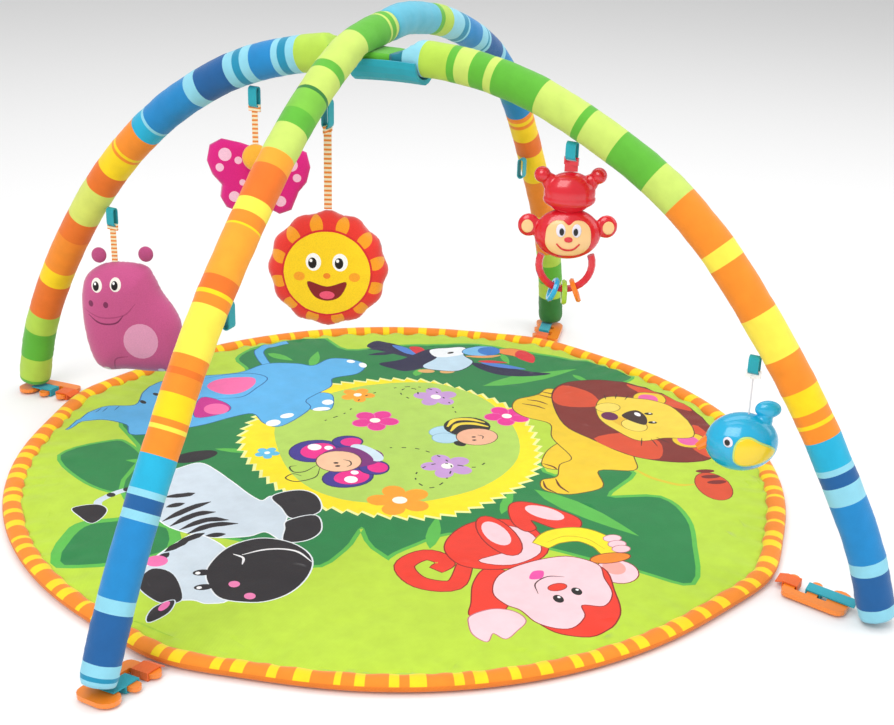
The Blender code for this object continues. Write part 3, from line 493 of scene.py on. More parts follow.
def zebra_print(shapes):
    black, white = "1C171D", "CFDDE8"
    shapes.append((white, stroke([(-262, 20), (-300, 16), (-326, 0), (-330, -14)], 9, 5, 0.9)))
    for x, y in ((-275, 19), (-296, 17), (-314, 9)):
        shapes.append((black, oval(x, y, 4.5, 5.5, 20, 12)))
    edged(shapes, black, 1.0, blob((-355, -10), (-330, -10), (-322, -26), (-338, -48), (-350, -30)),
          "E8EEF2")
    shapes.append((black, oval(-215, 78, 27, 13, 12)))
    edged(shapes, white, 1.6,
          blob((-262, 36), (-236, 52), (-212, 60), (-197, 34), (-186, 6), (-166, -44), (-150, -38),
               (-138, -62), (-150, -100), (-158, -136), (-172, -112), (-190, -116), (-215, -112),
               (-240, -100), (-268, -70), (-278, -20)), "F4F8FA")
    edged(shapes, white, 1.6, blob((-238, -100), (-262, -112), (-290, -140), (-300, -170),
                                   (-286, -212), (-262, -222), (-250, -232), (-228, -226),
                                   (-215, -150)), "F4F8FA")
    for points in (((-262, -10), (-240, -12), (-228, -10)), ((-262, -34), (-242, -30)),
                   ((-270, -64), (-240, -44), (-215, -34)), ((-264, -76), (-236, -58), (-214, -58)),
                   ((-256, -86), (-226, -72), (-204, -78)), ((-250, -96), (-222, -84), (-196, -88)),
                   ((-232, -104), (-212, -106)), ((-262, -112), (-246, -104), (-232, -98)),
                   ((-276, -126), (-262, -116), (-250, -110)), ((-284, -140), (-272, -128))):
        shapes.append((black, stroke(points, 9, 5, 0.1)))
    for outline in (blob((-150, -38), (-120, -32), (-105, -50), (-110, -84), (-140, -92),
                         (-146, -66)),
                    blob((-146, -96), (-116, -92), (-118, -124), (-136, -140), (-158, -136),
                         (-152, -112))):
        edged(shapes, black, 1.6, outline, "E8EEF2")
    edged(shapes, black, 1.6, blob((-240, -168), (-216, -136), (-182, -124), (-152, -142),
                                   (-140, -176), (-152, -210), (-178, -236), (-206, -242),
                                   (-236, -228), (-244, -198)), "E8EEF2")
    shapes.append(("F2F2F4", stroke([(-204, -152), (-178, -148), (-152, -158), (-141, -184)], 2.6)))
    shapes.append(("F2F2F4", stroke([(-212, -148), (-204, -158), (-207, -170)], 2.6)))
    for x, y in ((-221, -204), (-211, -230)):
        shapes.append(("EE7FB4", oval(x, y, 5.5, 6, 0, 14)))
    for x, y in ((-247, -175), (-250, -202)):
        shapes.append((black, oval(x, y, 9, 5.5, -8, 16)))
        shapes.append(("FFFFFF", oval(x - 4, y, 2.6, 2.6, 0, 10)))
    shapes.append(("F070B0", oval(-286, -142, 11, 11)))
    edged(shapes, black, 1.2, blob((-300, -208), (-308, -180), (-292, -156), (-274, -172),
                                   (-272, -216), (-286, -222)), "D8E2EA")
    edged(shapes, black, 1.2, blob((-308, -248), (-300, -226), (-280, -218), (-288, -238)), "D8E2EA")
    shapes.append(("F070B0", oval(-290, -226, 4, 9, -35)))


def monkey_print(shapes):
    red, pink, line = "EC3620", "FBD0D8", "8A1410"
    edged(shapes, red, 1.3, stroke([(4, -225), (-20, -262), (-50, -248), (-56, -215), (-30, -200),
                                    (-14, -218), (-28, -230)], 19, 5, 0.8), line)
    edged(shapes, red, 1.3, blob((22, -240), (0, -262), (-14, -296), (-22, -318), (6, -320),
                                 (30, -290), (44, -262)), line)
    edged(shapes, pink, 1.2, blob((-22, -318), (0, -312), (18, -320), (24, -338), (10, -352),
                                  (-4, -362), (-12, -350), (-22, -362), (-30, -348), (-28, -330)),
          "C07080")
    edged(shapes, red, 1.4, blob((-8, -196), (8, -168), (36, -150), (66, -150), (92, -168),
                                 (92, -222), (60, -244), (22, -242), (-2, -226)), line)
    edged(shapes, pink, 1.0, blob((18, -224), (46, -240), (82, -226), (88, -190), (72, -166),
                                  (60, -180), (58, -212)), line)
    edged(shapes, red, 1.4, blob((78, -158), (86, -126), (102, -120), (126, -138), (146, -170),
                                 (138, -190), (116, -184), (98, -160), (96, -178), (84, -180)), line)
    shapes.append((pink, oval(117, -149, 23, 12, -52)))
    edged(shapes, red, 1.3, oval(54, -182, 18, 42, 3), line)
    shapes.append((pink, oval(53, -177, 12.5, 26, 3)))
    edged(shapes, pink, 1.2, oval(142, -280, 20, 22), line)
    shapes.append(("F5A9A0", oval(142, -272, 11, 14)))
    edged(shapes, "FCE818", 1.3, stroke([(88, -212), (108, -200), (134, -202), (150, -222),
                                         (150, -246)], 27, 5, 0.7), "A08A10")
    shapes.append(("D8C010", stroke([(96, -208), (118, -202), (138, -212), (148, -236)], 1.6)))
    edged(shapes, "F08A1E", 1.2, oval(146, -254, 21, 9, 0), line)
    for y in (-218, -230, -240):
        edged(shapes, pink, 1.0, oval(164, y, 9, 6.5, -5, 16), "C07080")
    edged(shapes, red, 1.5, blob((28, -300), (34, -344), (52, -372), (84, -376), (112, -352),
                                 (124, -312), (130, -270), (96, -244), (50, -250)), line)
    edged(shapes, pink, 1.2, blob((12, -284), (28, -256), (60, -242), (104, -240), (128, -262),
                                  (124, -288), (120, -316), (104, -334), (84, -328), (78, -348),
                                  (56, -362), (34, -346), (26, -320), (16, -306)), line)
    for x, y in ((67, -312), (89, -304)):
        shapes.append(("17100E", oval(x, y, 5, 7, 0, 14)))
        shapes.append(("FFFFFF", oval(x + 1.5, y + 2.5, 1.6, 1.8, 0, 8)))
    edged(shapes, red, 1.0, oval(74, -292, 9.5, 6, 10, 16), line)
    shapes.append(("3A1410", stroke([(52, -298), (56, -280), (72, -271), (88, -276)], 1.5)))
    shapes.append(("EE4FA8", blob((54, -270), (62, -258), (72, -260), (66, -272))))


def rim_radius(angle):
    """Half the mat's width at an angle, pulled out at each tab."""
    radius = MAT_RADIUS
    for azimuth in TAB_AZIMUTHS:
        away = (math.degrees(angle) - azimuth + 180) % 360 - 180
        radius += TAB_PULL * math.exp(-(away / TAB_SPREAD) ** 2)
    return radius


def pad_height(x, y):
    """The pad's upper surface: softly uneven foam, pulled into puckers at the sewn edge."""
    radius, angle = math.hypot(x, y), math.atan2(y, x)
    inside = rim_radius(angle) - BINDING
    near = max(0.0, 1.0 - (inside - radius) / 0.055)
    waves = math.sin(angle * 83 + 5 * noise.noise(Vector((6 * math.cos(angle), 6 * math.sin(angle), 0))))
    lift = 0.0008 * noise.noise(Vector((x * 14, y * 14, 3.0)))
    lift += 0.0005 * noise.noise(Vector((x * 42, y * 42, 7.0)))
    return 0.0084 + lift + 0.0013 * near ** 1.5 * waves - 0.0012 * near ** 3


shapes_on_mat = []
ground_print(shapes_on_mat)
clearing_print(shapes_on_mat)
elephant_print(shapes_on_mat)
toucan_print(shapes_on_mat)
lion_print(shapes_on_mat)
zebra_print(shapes_on_mat)
monkey_print(shapes_on_mat)
RIM_STEPS = 480
rim_line = []
for step in range(RIM_STEPS):
    rim_angle = 2 * math.pi * step / RIM_STEPS
    rim_reach = (rim_radius(rim_angle) - BINDING + 0.0025) * 1000
    rim_line.append((rim_reach * math.cos(rim_angle), rim_reach * math.sin(rim_angle)))
inside_rim = [("A6CE33", rim_line)] + [
    (dye, [tuple(Vector(p) * min(1.0, 402 / max(1.0, math.hypot(*p)))) for p in outline])
    for dye, outline in shapes_on_mat]
flat, tris, dyes = painted(inside_rim, rim_line, 8.5)
top = [MAT + Vector((x / 1000, y / 1000, pad_height(x / 1000, y / 1000))) for x, y in flat]
edges = {}
for tri in tris:
    for a, b in ((tri[0], tri[1]), (tri[1], tri[2]), (tri[2], tri[0])):
        edges[(a, b)] = edges.get((a, b), 0) + 1
border = [(a, b) for a, b in edges if (b, a) not in edges]
floor_of = {}
for a, _ in border:
    floor_of[a] = len(top)
    top.append(Vector((top[a].x, top[a].y, 0.0002)))
middle = len(top)
top.append(MAT + Vector((0, 0, 0.0002)))
faces = [tuple(t) for t in tris]
for a, b in border:
    faces += [(b, a, floor_of[a], floor_of[b]), (floor_of[b], floor_of[a], middle)]
dyes += ["E8761A"] * (2 * len(border))
printed_polyester = woven_cloth("printed_woven_polyester", thread=0.0012, depth=0.22, uv=False)
pad = mesh_piece("mat_pad_cloth", top, faces, printed_polyester, dyes)
fix_normals(pad)
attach(pad, "mat_and_upper_arch")
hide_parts("mat_pad")

# ---------------------------------------------------------------- binding
# The stuffed edge roll: cloth printed in radial yellow and orange stripes, plain orange below.

binding_points, binding_faces, binding_dyes, binding_uvs = [], [], [], []
widths = (30, 12, 11, 16, 25, 10, 22, 15, 28, 9, 14, 12, 24, 11, 13, 16)
edges_at, total = [], 0.0
while total < 2 * math.pi * 425 - 20:
    edges_at.append(total)
    total += widths[len(edges_at) % len(widths)] * 0.8
around = 900
for i in range(around):
    a = 2 * math.pi * i / around
    wave = math.sin(a * 83 + 5 * noise.noise(Vector((6 * math.cos(a), 6 * math.sin(a), 0))))
    unit = Vector((math.cos(a), math.sin(a), 0))
    for k in range(16):
        turn = 2 * math.pi * k / 16
        across, up = math.cos(turn), math.sin(turn)
        inward = max(0.0, -across)
        out = rim_radius(a) - BINDING / 2 + across * (BINDING / 2) * (1 - 0.06 * inward * (1 + wave))
        height = 0.0064 + up * 0.0062 * (1 - 0.10 * inward * (1 + wave))
        binding_points.append(MAT + unit * out + Vector((0, 0, height)))
        binding_uvs.append((a * 0.425, k * 0.0035))
for i in range(around):
    place = i * 2 * math.pi * 425 / around
    stripe = sum(1 for e in edges_at if e <= place)
    for k in range(16):
        j, m = (i + 1) % around, (k + 1) % 16
        binding_faces.append((i * 16 + k, j * 16 + k, j * 16 + m, i * 16 + m))
        striped = "FFDA0A" if stripe % 2 else "F68A1C"
        binding_dyes.append("E67A1A" if k in (11, 12, 13, 14, 15, 0) else striped)
striped_binding = woven_cloth("striped_binding_polyester", thread=0.0010, uv=False)
binding = mesh_piece("mat_binding_cloth", binding_points, binding_faces, striped_binding, binding_dyes)
fix_normals(binding)
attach(binding, "mat_and_upper_arch")
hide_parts("mat_binding")

# ---------------------------------------------------------------- arch sleeves
# Four padded tubes of cloth printed in cross stripes, two on each springy arch. The sleeves of
# the two arches are pressed flat on each other at the crown.

CROWN = Vector((-0.0420, -0.0076, 0.0))
PRESSED = 0.4750
ARCH_LINES = {
    "a": (46.3, [(-0.466, 0.004), (-0.446, 0.050), (-0.410, 0.115), (-0.360, 0.189),
                 (-0.307, 0.261), (-0.247, 0.327), (-0.170, 0.398), (-0.100, 0.4475),
                 (-0.045, 0.4755), (0.000, 0.4855), (0.045, 0.4905), (0.090, 0.4915),
                 (0.160, 0.480), (0.235, 0.456), (0.303, 0.423), (0.350, 0.385), (0.392, 0.339),
                 (0.440, 0.271), (0.487, 0.196), (0.516, 0.135), (0.535, 0.073), (0.546, 0.004)]),
    "b": (-46.3, [(-0.482, 0.004), (-0.462, 0.085), (-0.425, 0.167), (-0.375, 0.248),
                  (-0.318, 0.319), (-0.248, 0.382), (-0.165, 0.432), (-0.080, 0.4595),
                  (0.000, 0.469), (0.070, 0.471), (0.135, 0.465), (0.205, 0.444), (0.298, 0.396),
                  (0.360, 0.346), (0.413, 0.284), (0.465, 0.211), (0.505, 0.143), (0.540, 0.072),
                  (0.562, 0.004)]),
}
PALETTE = {
    "pl": "C8E068", "lm": "B5D84A", "yl": "DDE66A", "gr": "5DB52F", "lg": "7CC43C",
    "dg": "2E7D32", "py": "FFE94A", "ye": "FFD800", "lo": "FFA526", "or": "F88E1C",
    "do": "EE7417", "cy": "14B0D8", "lb": "8ED4E8", "bl": "0E86C8", "db": "0B5C9C",
    # dt, dark teal, is painted shade: the turquoise cloth coloured as it looks in shadow.
    "te": "0F8FB5", "cr": "5DB9D3", "dt": "0C7C92",
}
# Where each stripe starts, in millimetres along the arch from the crown.
STRIPES = {
    "front_left": "-690 lb -672 te -668 lb -658 db -616 lb -604 bl -538 lb -530 db -518 lb "
                  "-512 cy -482 or -460 py -456 or -450 ye -428 or -412 do -406 or -394 py "
                  "-348 or -338 ye -334 do -320 lo -270 ye -268 or -256 py -242 do -206 lo "
                  "-190 pl -160 gr -142 lg -118 dg -114 pl -88 gr -78 pl -28 gr 20 pl 24 gr 32 pl",
    "back_right": "40 cr 134 gr 144 lm 166 lb 194 te 206 lb 210 bl 246 lb 262 te 266 lb 272 db "
                  "310 lb 320 bl 345 te 408 bl 438 or 446 ye 452 or 458 ye 482 do 510 ye 558 or "
                  "622 ye 650 or 690 lm 712 gr 742 lm 766 dg",
    "back_left": "-722 gr -704 lm -674 gr -636 lm -610 do -562 ye -540 or -490 do -460 yl "
                 "-410 do -380 ye -350 or -346 ye -342 or -310 cy -292 lb -288 bl -222 lb "
                 "-206 db -164 lb -152 te -142 lb -130 bl -102 lb -94 te -84 lb -74 lm -34 gr "
                 "-24 lm -14 gr",
    # front_right starts with a dt stripe: painted shade on the turquoise cloth beside the crown.
    "front_right": "36 dt 50 lb 68 lm 98 gr 106 pl 122 gr 138 pl 146 gr 194 pl 238 gr 246 pl "
                   "280 gr 324 pl 356 or 410 py 426 or 480 py 524 or 558 ye 580 or 590 ye 594 or "
                   "608 cy 636 lb 642 db 654 lb 672 bl 732 lb 744 db 778 lb",
}
SLEEVES = {
    "front_left": ("a", -1, 0.0165, 0.0170), "back_right": ("a", 1, 0.0165, 0.0132),
    "back_left": ("b", -1, 0.0190, 0.0155), "front_right": ("b", 1, 0.0175, 0.0070),
}


def arch_frame(key):
    """The arch's even 1 mm samples, the sample at the crown, and its two level directions."""
    azimuth, points = ARCH_LINES[key]
    dense = [Vector(p) for p in curve_points(points, False, 40)]
    samples, carry = [dense[0]], 0.001
    for a, b in zip(dense, dense[1:]):
        length = (b - a).length
        while carry <= length:
            samples.append(a.lerp(b, carry / length))
            carry += 0.001
        carry -= length
    crown = min(range(len(samples)), key=lambda i: abs(samples[i].x))
    a = math.radians(azimuth)
    return samples, crown, Vector((math.cos(a), math.sin(a), 0)), Vector((-math.sin(a), math.cos(a), 0))


def sleeve_mesh(leg, material):
    key, side, radius, bottom = SLEEVES[leg]
    samples, crown, along, level = arch_frame(key)
    words = STRIPES[leg].split()
    marks = [(int(words[i]), words[i + 1]) for i in range(0, len(words), 2)]
    legs = [i for i, p in enumerate(samples) if p.x * side > 0.2]
    foot = min(legs, key=lambda i: abs(samples[i].y - bottom)) - crown
    join = 40 if key == "a" else 36
    first, last = (foot, join) if side < 0 else (join, foot)
    spots = sorted({s for s, _ in marks if first < s < last} | set(range(first, last, 4)) | {last})
    points, faces, dyes, uvs = [], [], [], []
    sides = 32
    up_side = 1 if key == "a" else -1
    for s in spots:
        i = max(0, min(len(samples) - 1, s + crown))
        here = samples[i]
        slope = (samples[min(i + 6, len(samples) - 1)] - samples[max(i - 6, 0)]).normalized()
        normal = Vector((-slope.y, slope.x))
        end = min(s - first, last - s)
        grip = 0.90 if end < 3 else 0.97 if end < 8 else 1.0
        fold = 1.0 if abs(s - foot) < 60 or (leg == "back_right" and s < 134) else 0.35
        for k in range(sides):
            a = 2 * math.pi * (k + 0.5) / sides
            rough = noise.noise(Vector((math.cos(a) * 1.3, math.sin(a) * 1.3, s * 0.055)))
            fine = noise.noise(Vector((math.cos(a) * 2.2 + s * 0.09, math.sin(a) * 2.2, s * 0.22)))
            r = radius * grip * (1 + 0.030 * rough + 0.035 * fold * fine)
            spot = here + normal * r * math.sin(a)
            p = CROWN + along * spot.x + level * r * math.cos(a) + Vector((0, 0, spot.y))
            reach = max(0.0, -0.032 - here.x, here.x - 0.042)
            plane = PRESSED + up_side * (0.0003 - 0.6 * reach - 8.0 * reach ** 2)
            p.z = max(p.z, plane) if up_side > 0 else min(p.z, plane)
            p.z = max(p.z, 0.0006)
            points.append(p)
            uvs.append((k / sides * 2 * math.pi * radius, s / 1000))
    for row, (s, after) in enumerate(zip(spots, spots[1:])):
        dye = PALETTE[[c for start, c in marks if start <= s][-1] if s >= marks[0][0] else marks[0][1]]
        for k in range(sides):
            m = (k + 1) % sides
            faces.append((row * sides + k, row * sides + m, (row + 1) * sides + m,
                          (row + 1) * sides + k))
            dyes.append(dye)
    # The tube ends are closed with dt caps: painted shade for the turquoise lining in shadow inside the
    # open ends.
    for row in (0, len(spots) - 1):
        faces.append(tuple(row * sides + k for k in range(sides)))
        dyes.append(PALETTE["dt"])
    obj = mesh_piece("sleeve_cloth_" + leg, points, faces, material, dyes, uvs)
    fix_normals(obj)
    return obj


striped_sleeve_cloth = woven_cloth("striped_sleeve_polyester", thread=0.0010, depth=0.3)
BODY_OF_ARCH = {"a": "mat_and_upper_arch", "b": "lower_arch"}
for leg_name in SLEEVES:
    sleeve = sleeve_mesh(leg_name, striped_sleeve_cloth)
    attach(sleeve, BODY_OF_ARCH[SLEEVES[leg_name][0]])
    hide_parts("sleeve_" + leg_name)

# ---------------------------------------------------------------- plush toys
# Flat stuffed toys sewn from short-pile velour: a hippo, a sun and a butterfly. The faces are
# embroidered or printed on the front.

YAW = Matrix.Rotation(math.radians(-18.3), 4, "Z")
PIVOTS = {joint["name"].removesuffix("_swing"): Vector(joint["pos_m"])
          for joint in frame["joints"] if joint["name"].endswith("_swing")}
HIPPO_CENTRE = (0.016, 0, -0.1115)
SUN_CENTRE = (0, 0, -0.1444)
BUTTERFLY_HEAD = (0, 0, -0.0579)


def velour(name):
    """Short pile: matt, with a pale sheen at the edges and fine fuzz in relief."""
    material, tree, shader = new_material(name, 0.95, sheen=0.6)
    place = add_node(tree, "ShaderNodeTexCoord")
    pile = add_node(tree, "ShaderNodeTexNoise", {"Scale": 900.0, "Detail": 2.0},
                    {"Vector": place.outputs["Object"]})
    dye = add_node(tree, "ShaderNodeAttribute", {"attribute_name": "dye"})
    tone = add_node(tree, "ShaderNodeMapRange", {"To Min": 0.82, "To Max": 1.12},
                    {"Value": pile.outputs["Fac"]})
    shade = add_node(tree, "ShaderNodeVectorMath", {"operation": "SCALE"},
                     {0: dye.outputs["Color"], "Scale": tone.outputs[0]})
    bump = add_node(tree, "ShaderNodeBump", {"Strength": 0.4, "Distance": 0.0006},
                    {"Height": pile.outputs["Fac"]})
    tree.links.new(shade.outputs[0], shader.inputs["Base Color"])
    tree.links.new(bump.outputs[0], shader.inputs["Normal"])
    return material


def plush(name, outline, shapes, back, half, rise, toy, offset, material):
    """A stuffed toy from its outline in mm: half its thickness, and how far in it reaches it."""
    flat, tris, dyes = painted([(back, outline)] + shapes, outline, 3.2)
    ring = [Vector(p) for p in outline]
    gaps = []
    for p in flat:
        spot = Vector(p)
        best = 1e9
        for a, b in zip(ring, ring[1:] + ring[:1]):
            way = b - a
            t = max(0.0, min(1.0, (spot - a).dot(way) / max(way.length_squared, 1e-12)))
            best = min(best, (spot - a - way * t).length)
        gaps.append(best)
    shift = len(flat)
    points = []
    for side in (-1, 1):
        for p, gap in zip(flat, gaps):
            swell = half * math.sqrt(max(0.0, 1 - (1 - min(1.0, gap / rise)) ** 2))
            points.append(Vector((p[0], side * swell, p[1])) / 1000)
    front = [tuple(t) for t in tris]
    rear = [tuple(i + shift for i in reversed(t)) for t in tris]
    obj = mesh_piece(name, points, front + rear, material, dyes + [back] * len(rear))
    bm = bmesh.new()
    bm.from_mesh(obj.data)
    bmesh.ops.remove_doubles(bm, verts=bm.verts, dist=1e-6)
    bmesh.ops.recalc_face_normals(bm, faces=bm.faces)
    bm.to_mesh(obj.data)
    bm.free()
    obj.data.transform(Matrix.Translation(PIVOTS[toy]) @ YAW @ Matrix.Translation(Vector(offset)))
    return obj


def inflate(obj, most=0.004):
    """Let the stuffing push the sewn cloth out, so that it strains and puckers at its seam."""
    before = [v.co.copy() for v in obj.data.vertices]
    cloth = obj.modifiers.new("stuffing", "CLOTH")
    settings = cloth.settings
    settings.quality = 5
    settings.mass = 0.2
    settings.use_pressure = True
    settings.uniform_pressure_force = 4.0
    settings.tension_stiffness = 40.0
    settings.compression_stiffness = 40.0
    settings.bending_stiffness = 0.6
    settings.effector_weights.gravity = 0.0
    cloth.point_cache.frame_start = 1
    cloth.point_cache.frame_end = 20
    for frame_number in range(1, 21):
        bpy.context.scene.frame_set(frame_number)
    graph = bpy.context.evaluated_depsgraph_get()
    after = [v.co.copy() for v in obj.evaluated_get(graph).data.vertices]
    obj.modifiers.remove(cloth)
    bpy.context.scene.frame_set(1)
    for vertex, a, b in zip(obj.data.vertices, before, after):
        move = b - a
        vertex.co = a + move * min(1.0, most / max(move.length, 1e-9))


toy_velour = velour("short_pile_velour")
HIPPO = blob((-49, 48), (-31, 61), (-9, 64), (19, 60), (29, 46), (37, 28), (49, 10), (57, -8),
             (59, -32), (54, -56), (43, -68), (24, -70), (-8, -68), (-31, -69), (-46, -58),
             (-54, -32), (-57, -2), (-56, 28))
hippo_face = [("AE4478", stroke([(-52, 12), (-30, 4), (-4, 8), (10, 22)], 1.6))]
for x, z in ((-34, 42), (-12, 44)):
    hippo_face.append(("F4EDE6", oval(x, z, 6.5, 8)))
    hippo_face.append(("1A1216", oval(x - 1, z - 1, 3.8, 5.2)))
    hippo_face.append(("FFFFFF", oval(x - 2, z + 1.5, 1.3, 1.5)))
for x in (-42, -24):
    hippo_face.append(("7C2A56", oval(x, 20, 3, 3.8)))
hippo_face.append(("7C2A56", stroke([(-46, 6), (-32, -3), (-14, -2), (-4, 8)], 2.0)))
hippo_face.append(("E59ABF", oval(14, -24, 20, 22)))
for x in (-40, -30, 34, 44):
    hippo_face.append(("F3D2E0", oval(x, -64, 4.2, 3.4)))
hippo_face.append(("A83F73", stroke([(-20, -66), (-17, -48), (-2, -44)], 1.8)))
hippo = plush("hippo_plush_toy", HIPPO, hippo_face, "C8558C", 25, 34, "hippo",
              HIPPO_CENTRE, toy_velour)
inflate(hippo)
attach(hippo, "hippo")
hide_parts("hippo_body")

petals = []
SUN_RIM = []
for step in range(96):
    a = 2 * math.pi * step / 96
    r = 58.5 + 1.3 * math.cos(12 * a)
    SUN_RIM.append((r * math.cos(a), r * math.sin(a)))
for k in range(12):
    a = math.radians(30 * k + 12)
    petals.append(("F9A01B", oval(49 * math.cos(a), 49 * math.sin(a), 8.5, 6.4, 30 * k + 12)))
petals.append(("D8232A", oval(0, 0, 44.5, 44.5, 0, 48)))
petals.append(("FFD61A", oval(0, 0, 42.5, 42.5, 0, 48)))
for x in (-13, 13):
    petals.append(("FFFFFF", oval(x, 12, 7.5, 9)))
    petals.append(("1C1410", oval(x - 1, 11, 4.2, 5.6)))
    petals.append(("FFFFFF", oval(x - 2.4, 13.5, 1.5, 1.7)))
petals.append(("8A1C20", blob((-19, -8), (0, -13), (19, -8), (13, -23), (0, -28), (-13, -23))))
petals.append(("F2577A", oval(0, -22, 7.5, 4.2)))
petals.append(("F58A1F", oval(0, -2, 3.6, 3.0)))
for x in (-27, 27):
    petals.append(("FBA524", oval(x, -3, 5.5, 4.6)))
sun = plush("sun_plush_toy", SUN_RIM, petals, "E8342A", 17, 22, "sun", SUN_CENTRE, toy_velour)
inflate(sun, 0.002)
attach(sun, "sun")
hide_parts("sun_body")

WINGS = {
    "left": ([(-0.6, 6), (-18, 12), (-38, 16), (-51, 9), (-55, -8), (-50, -24), (-41, -35),
              (-42, -49), (-35, -60), (-21, -65), (-8, -57), (-0.6, -40)],
             ((-34, 0, 7), (-20, -6, 4), (-40, -14, 4.5), (-25, -46, 6), (-16, -30, 3.5))),
    "right": ([(0.6, -8), (22, -2), (42, 7), (52, 3), (56, -13), (52, -30), (44, -41), (39, -52),
               (35, -61), (22, -66), (9, -59), (0.6, -40)],
              ((36, -10, 7), (22, -16, 4), (42, -24, 4.5), (24, -50, 6), (15, -34, 3.5))),
}
for side, (outline, dots) in WINGS.items():
    printed = [("F7C4DC", oval(x, z, r, r)) for x, z, r in dots]
    wing = plush("butterfly_wing_cloth_" + side, outline, printed, "DC1B82", 5.4, 9, "butterfly",
                 (0, 0.0160, -0.0579), toy_velour)
    inflate(wing, 0.0015)
    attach(wing, "butterfly")
    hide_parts("butterfly_wing_" + side)


def lump(name, balls, hexes, material, toy, base, voxel=0.0012):
    """Soft or moulded balls joined into one smooth skin, coloured by the nearest ball."""
    bm = bmesh.new()
    for centre, radii in balls:
        made = bmesh.ops.create_uvsphere(bm, u_segments=32, v_segments=20, radius=1.0)["verts"]
        matrix = Matrix.Translation(centre) @ Matrix.Diagonal((*radii, 1.0))
        bmesh.ops.transform(bm, matrix=matrix, verts=made)
    mesh = bpy.data.meshes.new(name)
    bm.to_mesh(mesh)
    bm.free()
    obj = bpy.data.objects.new(name, mesh)
    bpy.context.scene.collection.objects.link(obj)
    remesh = obj.modifiers.new("join", "REMESH")
    remesh.mode = "VOXEL"
    remesh.voxel_size = voxel
    smooth = obj.modifiers.new("soften", "SMOOTH")
    smooth.iterations = 4
    bpy.ops.object.select_all(action="DESELECT")
    obj.select_set(True)
    bpy.context.view_layer.objects.active = obj
    bpy.ops.object.modifier_apply(modifier="join")
    bpy.ops.object.modifier_apply(modifier="soften")
    obj.data.materials.clear()
    obj.data.materials.append(material)
    layer = obj.data.color_attributes.new("dye", "FLOAT_COLOR", "CORNER")
    table = [linear(h) for h in hexes]
    for face in obj.data.polygons:
        face.use_smooth = True
        spot = face.center
        best = min(range(len(balls)), key=lambda i: sum(
            ((spot[k] - balls[i][0][k]) / balls[i][1][k]) ** 2 for k in range(3)))
        for loop in face.loop_indices:
            layer.data[loop].color = table[best]
    obj.data.transform(Matrix.Translation(PIVOTS[toy]) @ YAW @ Matrix.Translation(Vector(base)))
    return obj


bug = lump("butterfly_plush_body", [((0, 0, 0), (0.0145, 0.0095, 0.0145)),
                                    ((0.004, 0, -0.034), (0.0075, 0.0080, 0.0270))],
           ["F9B233", "F7C948"], toy_velour, "butterfly", BUTTERFLY_HEAD)
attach(bug, "butterfly")
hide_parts("butterfly_body")

# ---------------------------------------------------------------- plastic toys, and finishes
# A hard glossy monkey rattle and a musical bird, moulded in ABS with thin inlaid faces. Below them,
# the webbing, clips, rods, ferrules, handle, teethers and cord keep their CAD shape.


def gloss_plastic(name, hexcode, roughness=0.22):
    """Moulded ABS: even colour under a clear shine."""
    material, tree, shader = new_material(name, roughness, coat=0.5)
    dye = add_node(tree, "ShaderNodeRGB")
    dye.outputs[0].default_value = linear(hexcode)
    tree.links.new(dye.outputs[0], shader.inputs["Base Color"])
    return material


def finish_nodes(material, *names):
    for name in names:
        node = frame["nodes"][name]
        node.data.materials.clear()
        node.data.materials.append(material)


red_abs = gloss_plastic("red_abs", "D9182A")
cream_abs = gloss_plastic("cream_abs", "F6C98A", 0.3)
orange_abs = gloss_plastic("orange_moulded_plastic", "F7871F", 0.3)
lilac_abs = gloss_plastic("lilac_white_abs", "E9E4F2", 0.3)
black_abs = gloss_plastic("black_abs", "15110F", 0.3)
finish_nodes(red_abs, "monkey_ribbon", "monkey_handle")


def moulded(name, balls, material, toy, base, voxel=0.0009):
    """A hard hollow toy's outside: balls run together into one polished skin."""
    obj = lump(name, balls, ["FFFFFF"] * len(balls), material, toy, base, voxel)
    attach(obj, toy)
    return obj


def skin_patch(name, outline, centre, radii, lift, material, toy, base):
    """A thin inlay of an outline in mm, laid on the front of an ellipsoid."""
    flat, tris, _ = painted([("FFFFFF", outline)], outline, 1.6)
    points = []
    for raise_by in (lift, lift - 0.0009):
        for x, z in flat:
            u, w = (x / 1000 - centre[0]) / radii[0], (z / 1000 - centre[2]) / radii[2]
            depth = radii[1] * math.sqrt(max(0.0, 1 - u * u - w * w)) + raise_by
            points.append(Vector((x / 1000, centre[1] - depth, z / 1000)))
    shift = len(flat)
    faces = [tuple(t) for t in tris] + [tuple(i + shift for i in reversed(t)) for t in tris]
    edges = {}
    for tri in tris:
        for a, b in ((tri[0], tri[1]), (tri[1], tri[2]), (tri[2], tri[0])):
            edges[(a, b)] = True
    faces += [(b, a, a + shift, b + shift) for a, b in edges if (b, a) not in edges]
    obj = mesh_piece(name, points, faces, material)
    fix_normals(obj)
    obj.data.transform(Matrix.Translation(PIVOTS[toy]) @ YAW @ Matrix.Translation(Vector(base)))
    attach(obj, toy)
    return obj


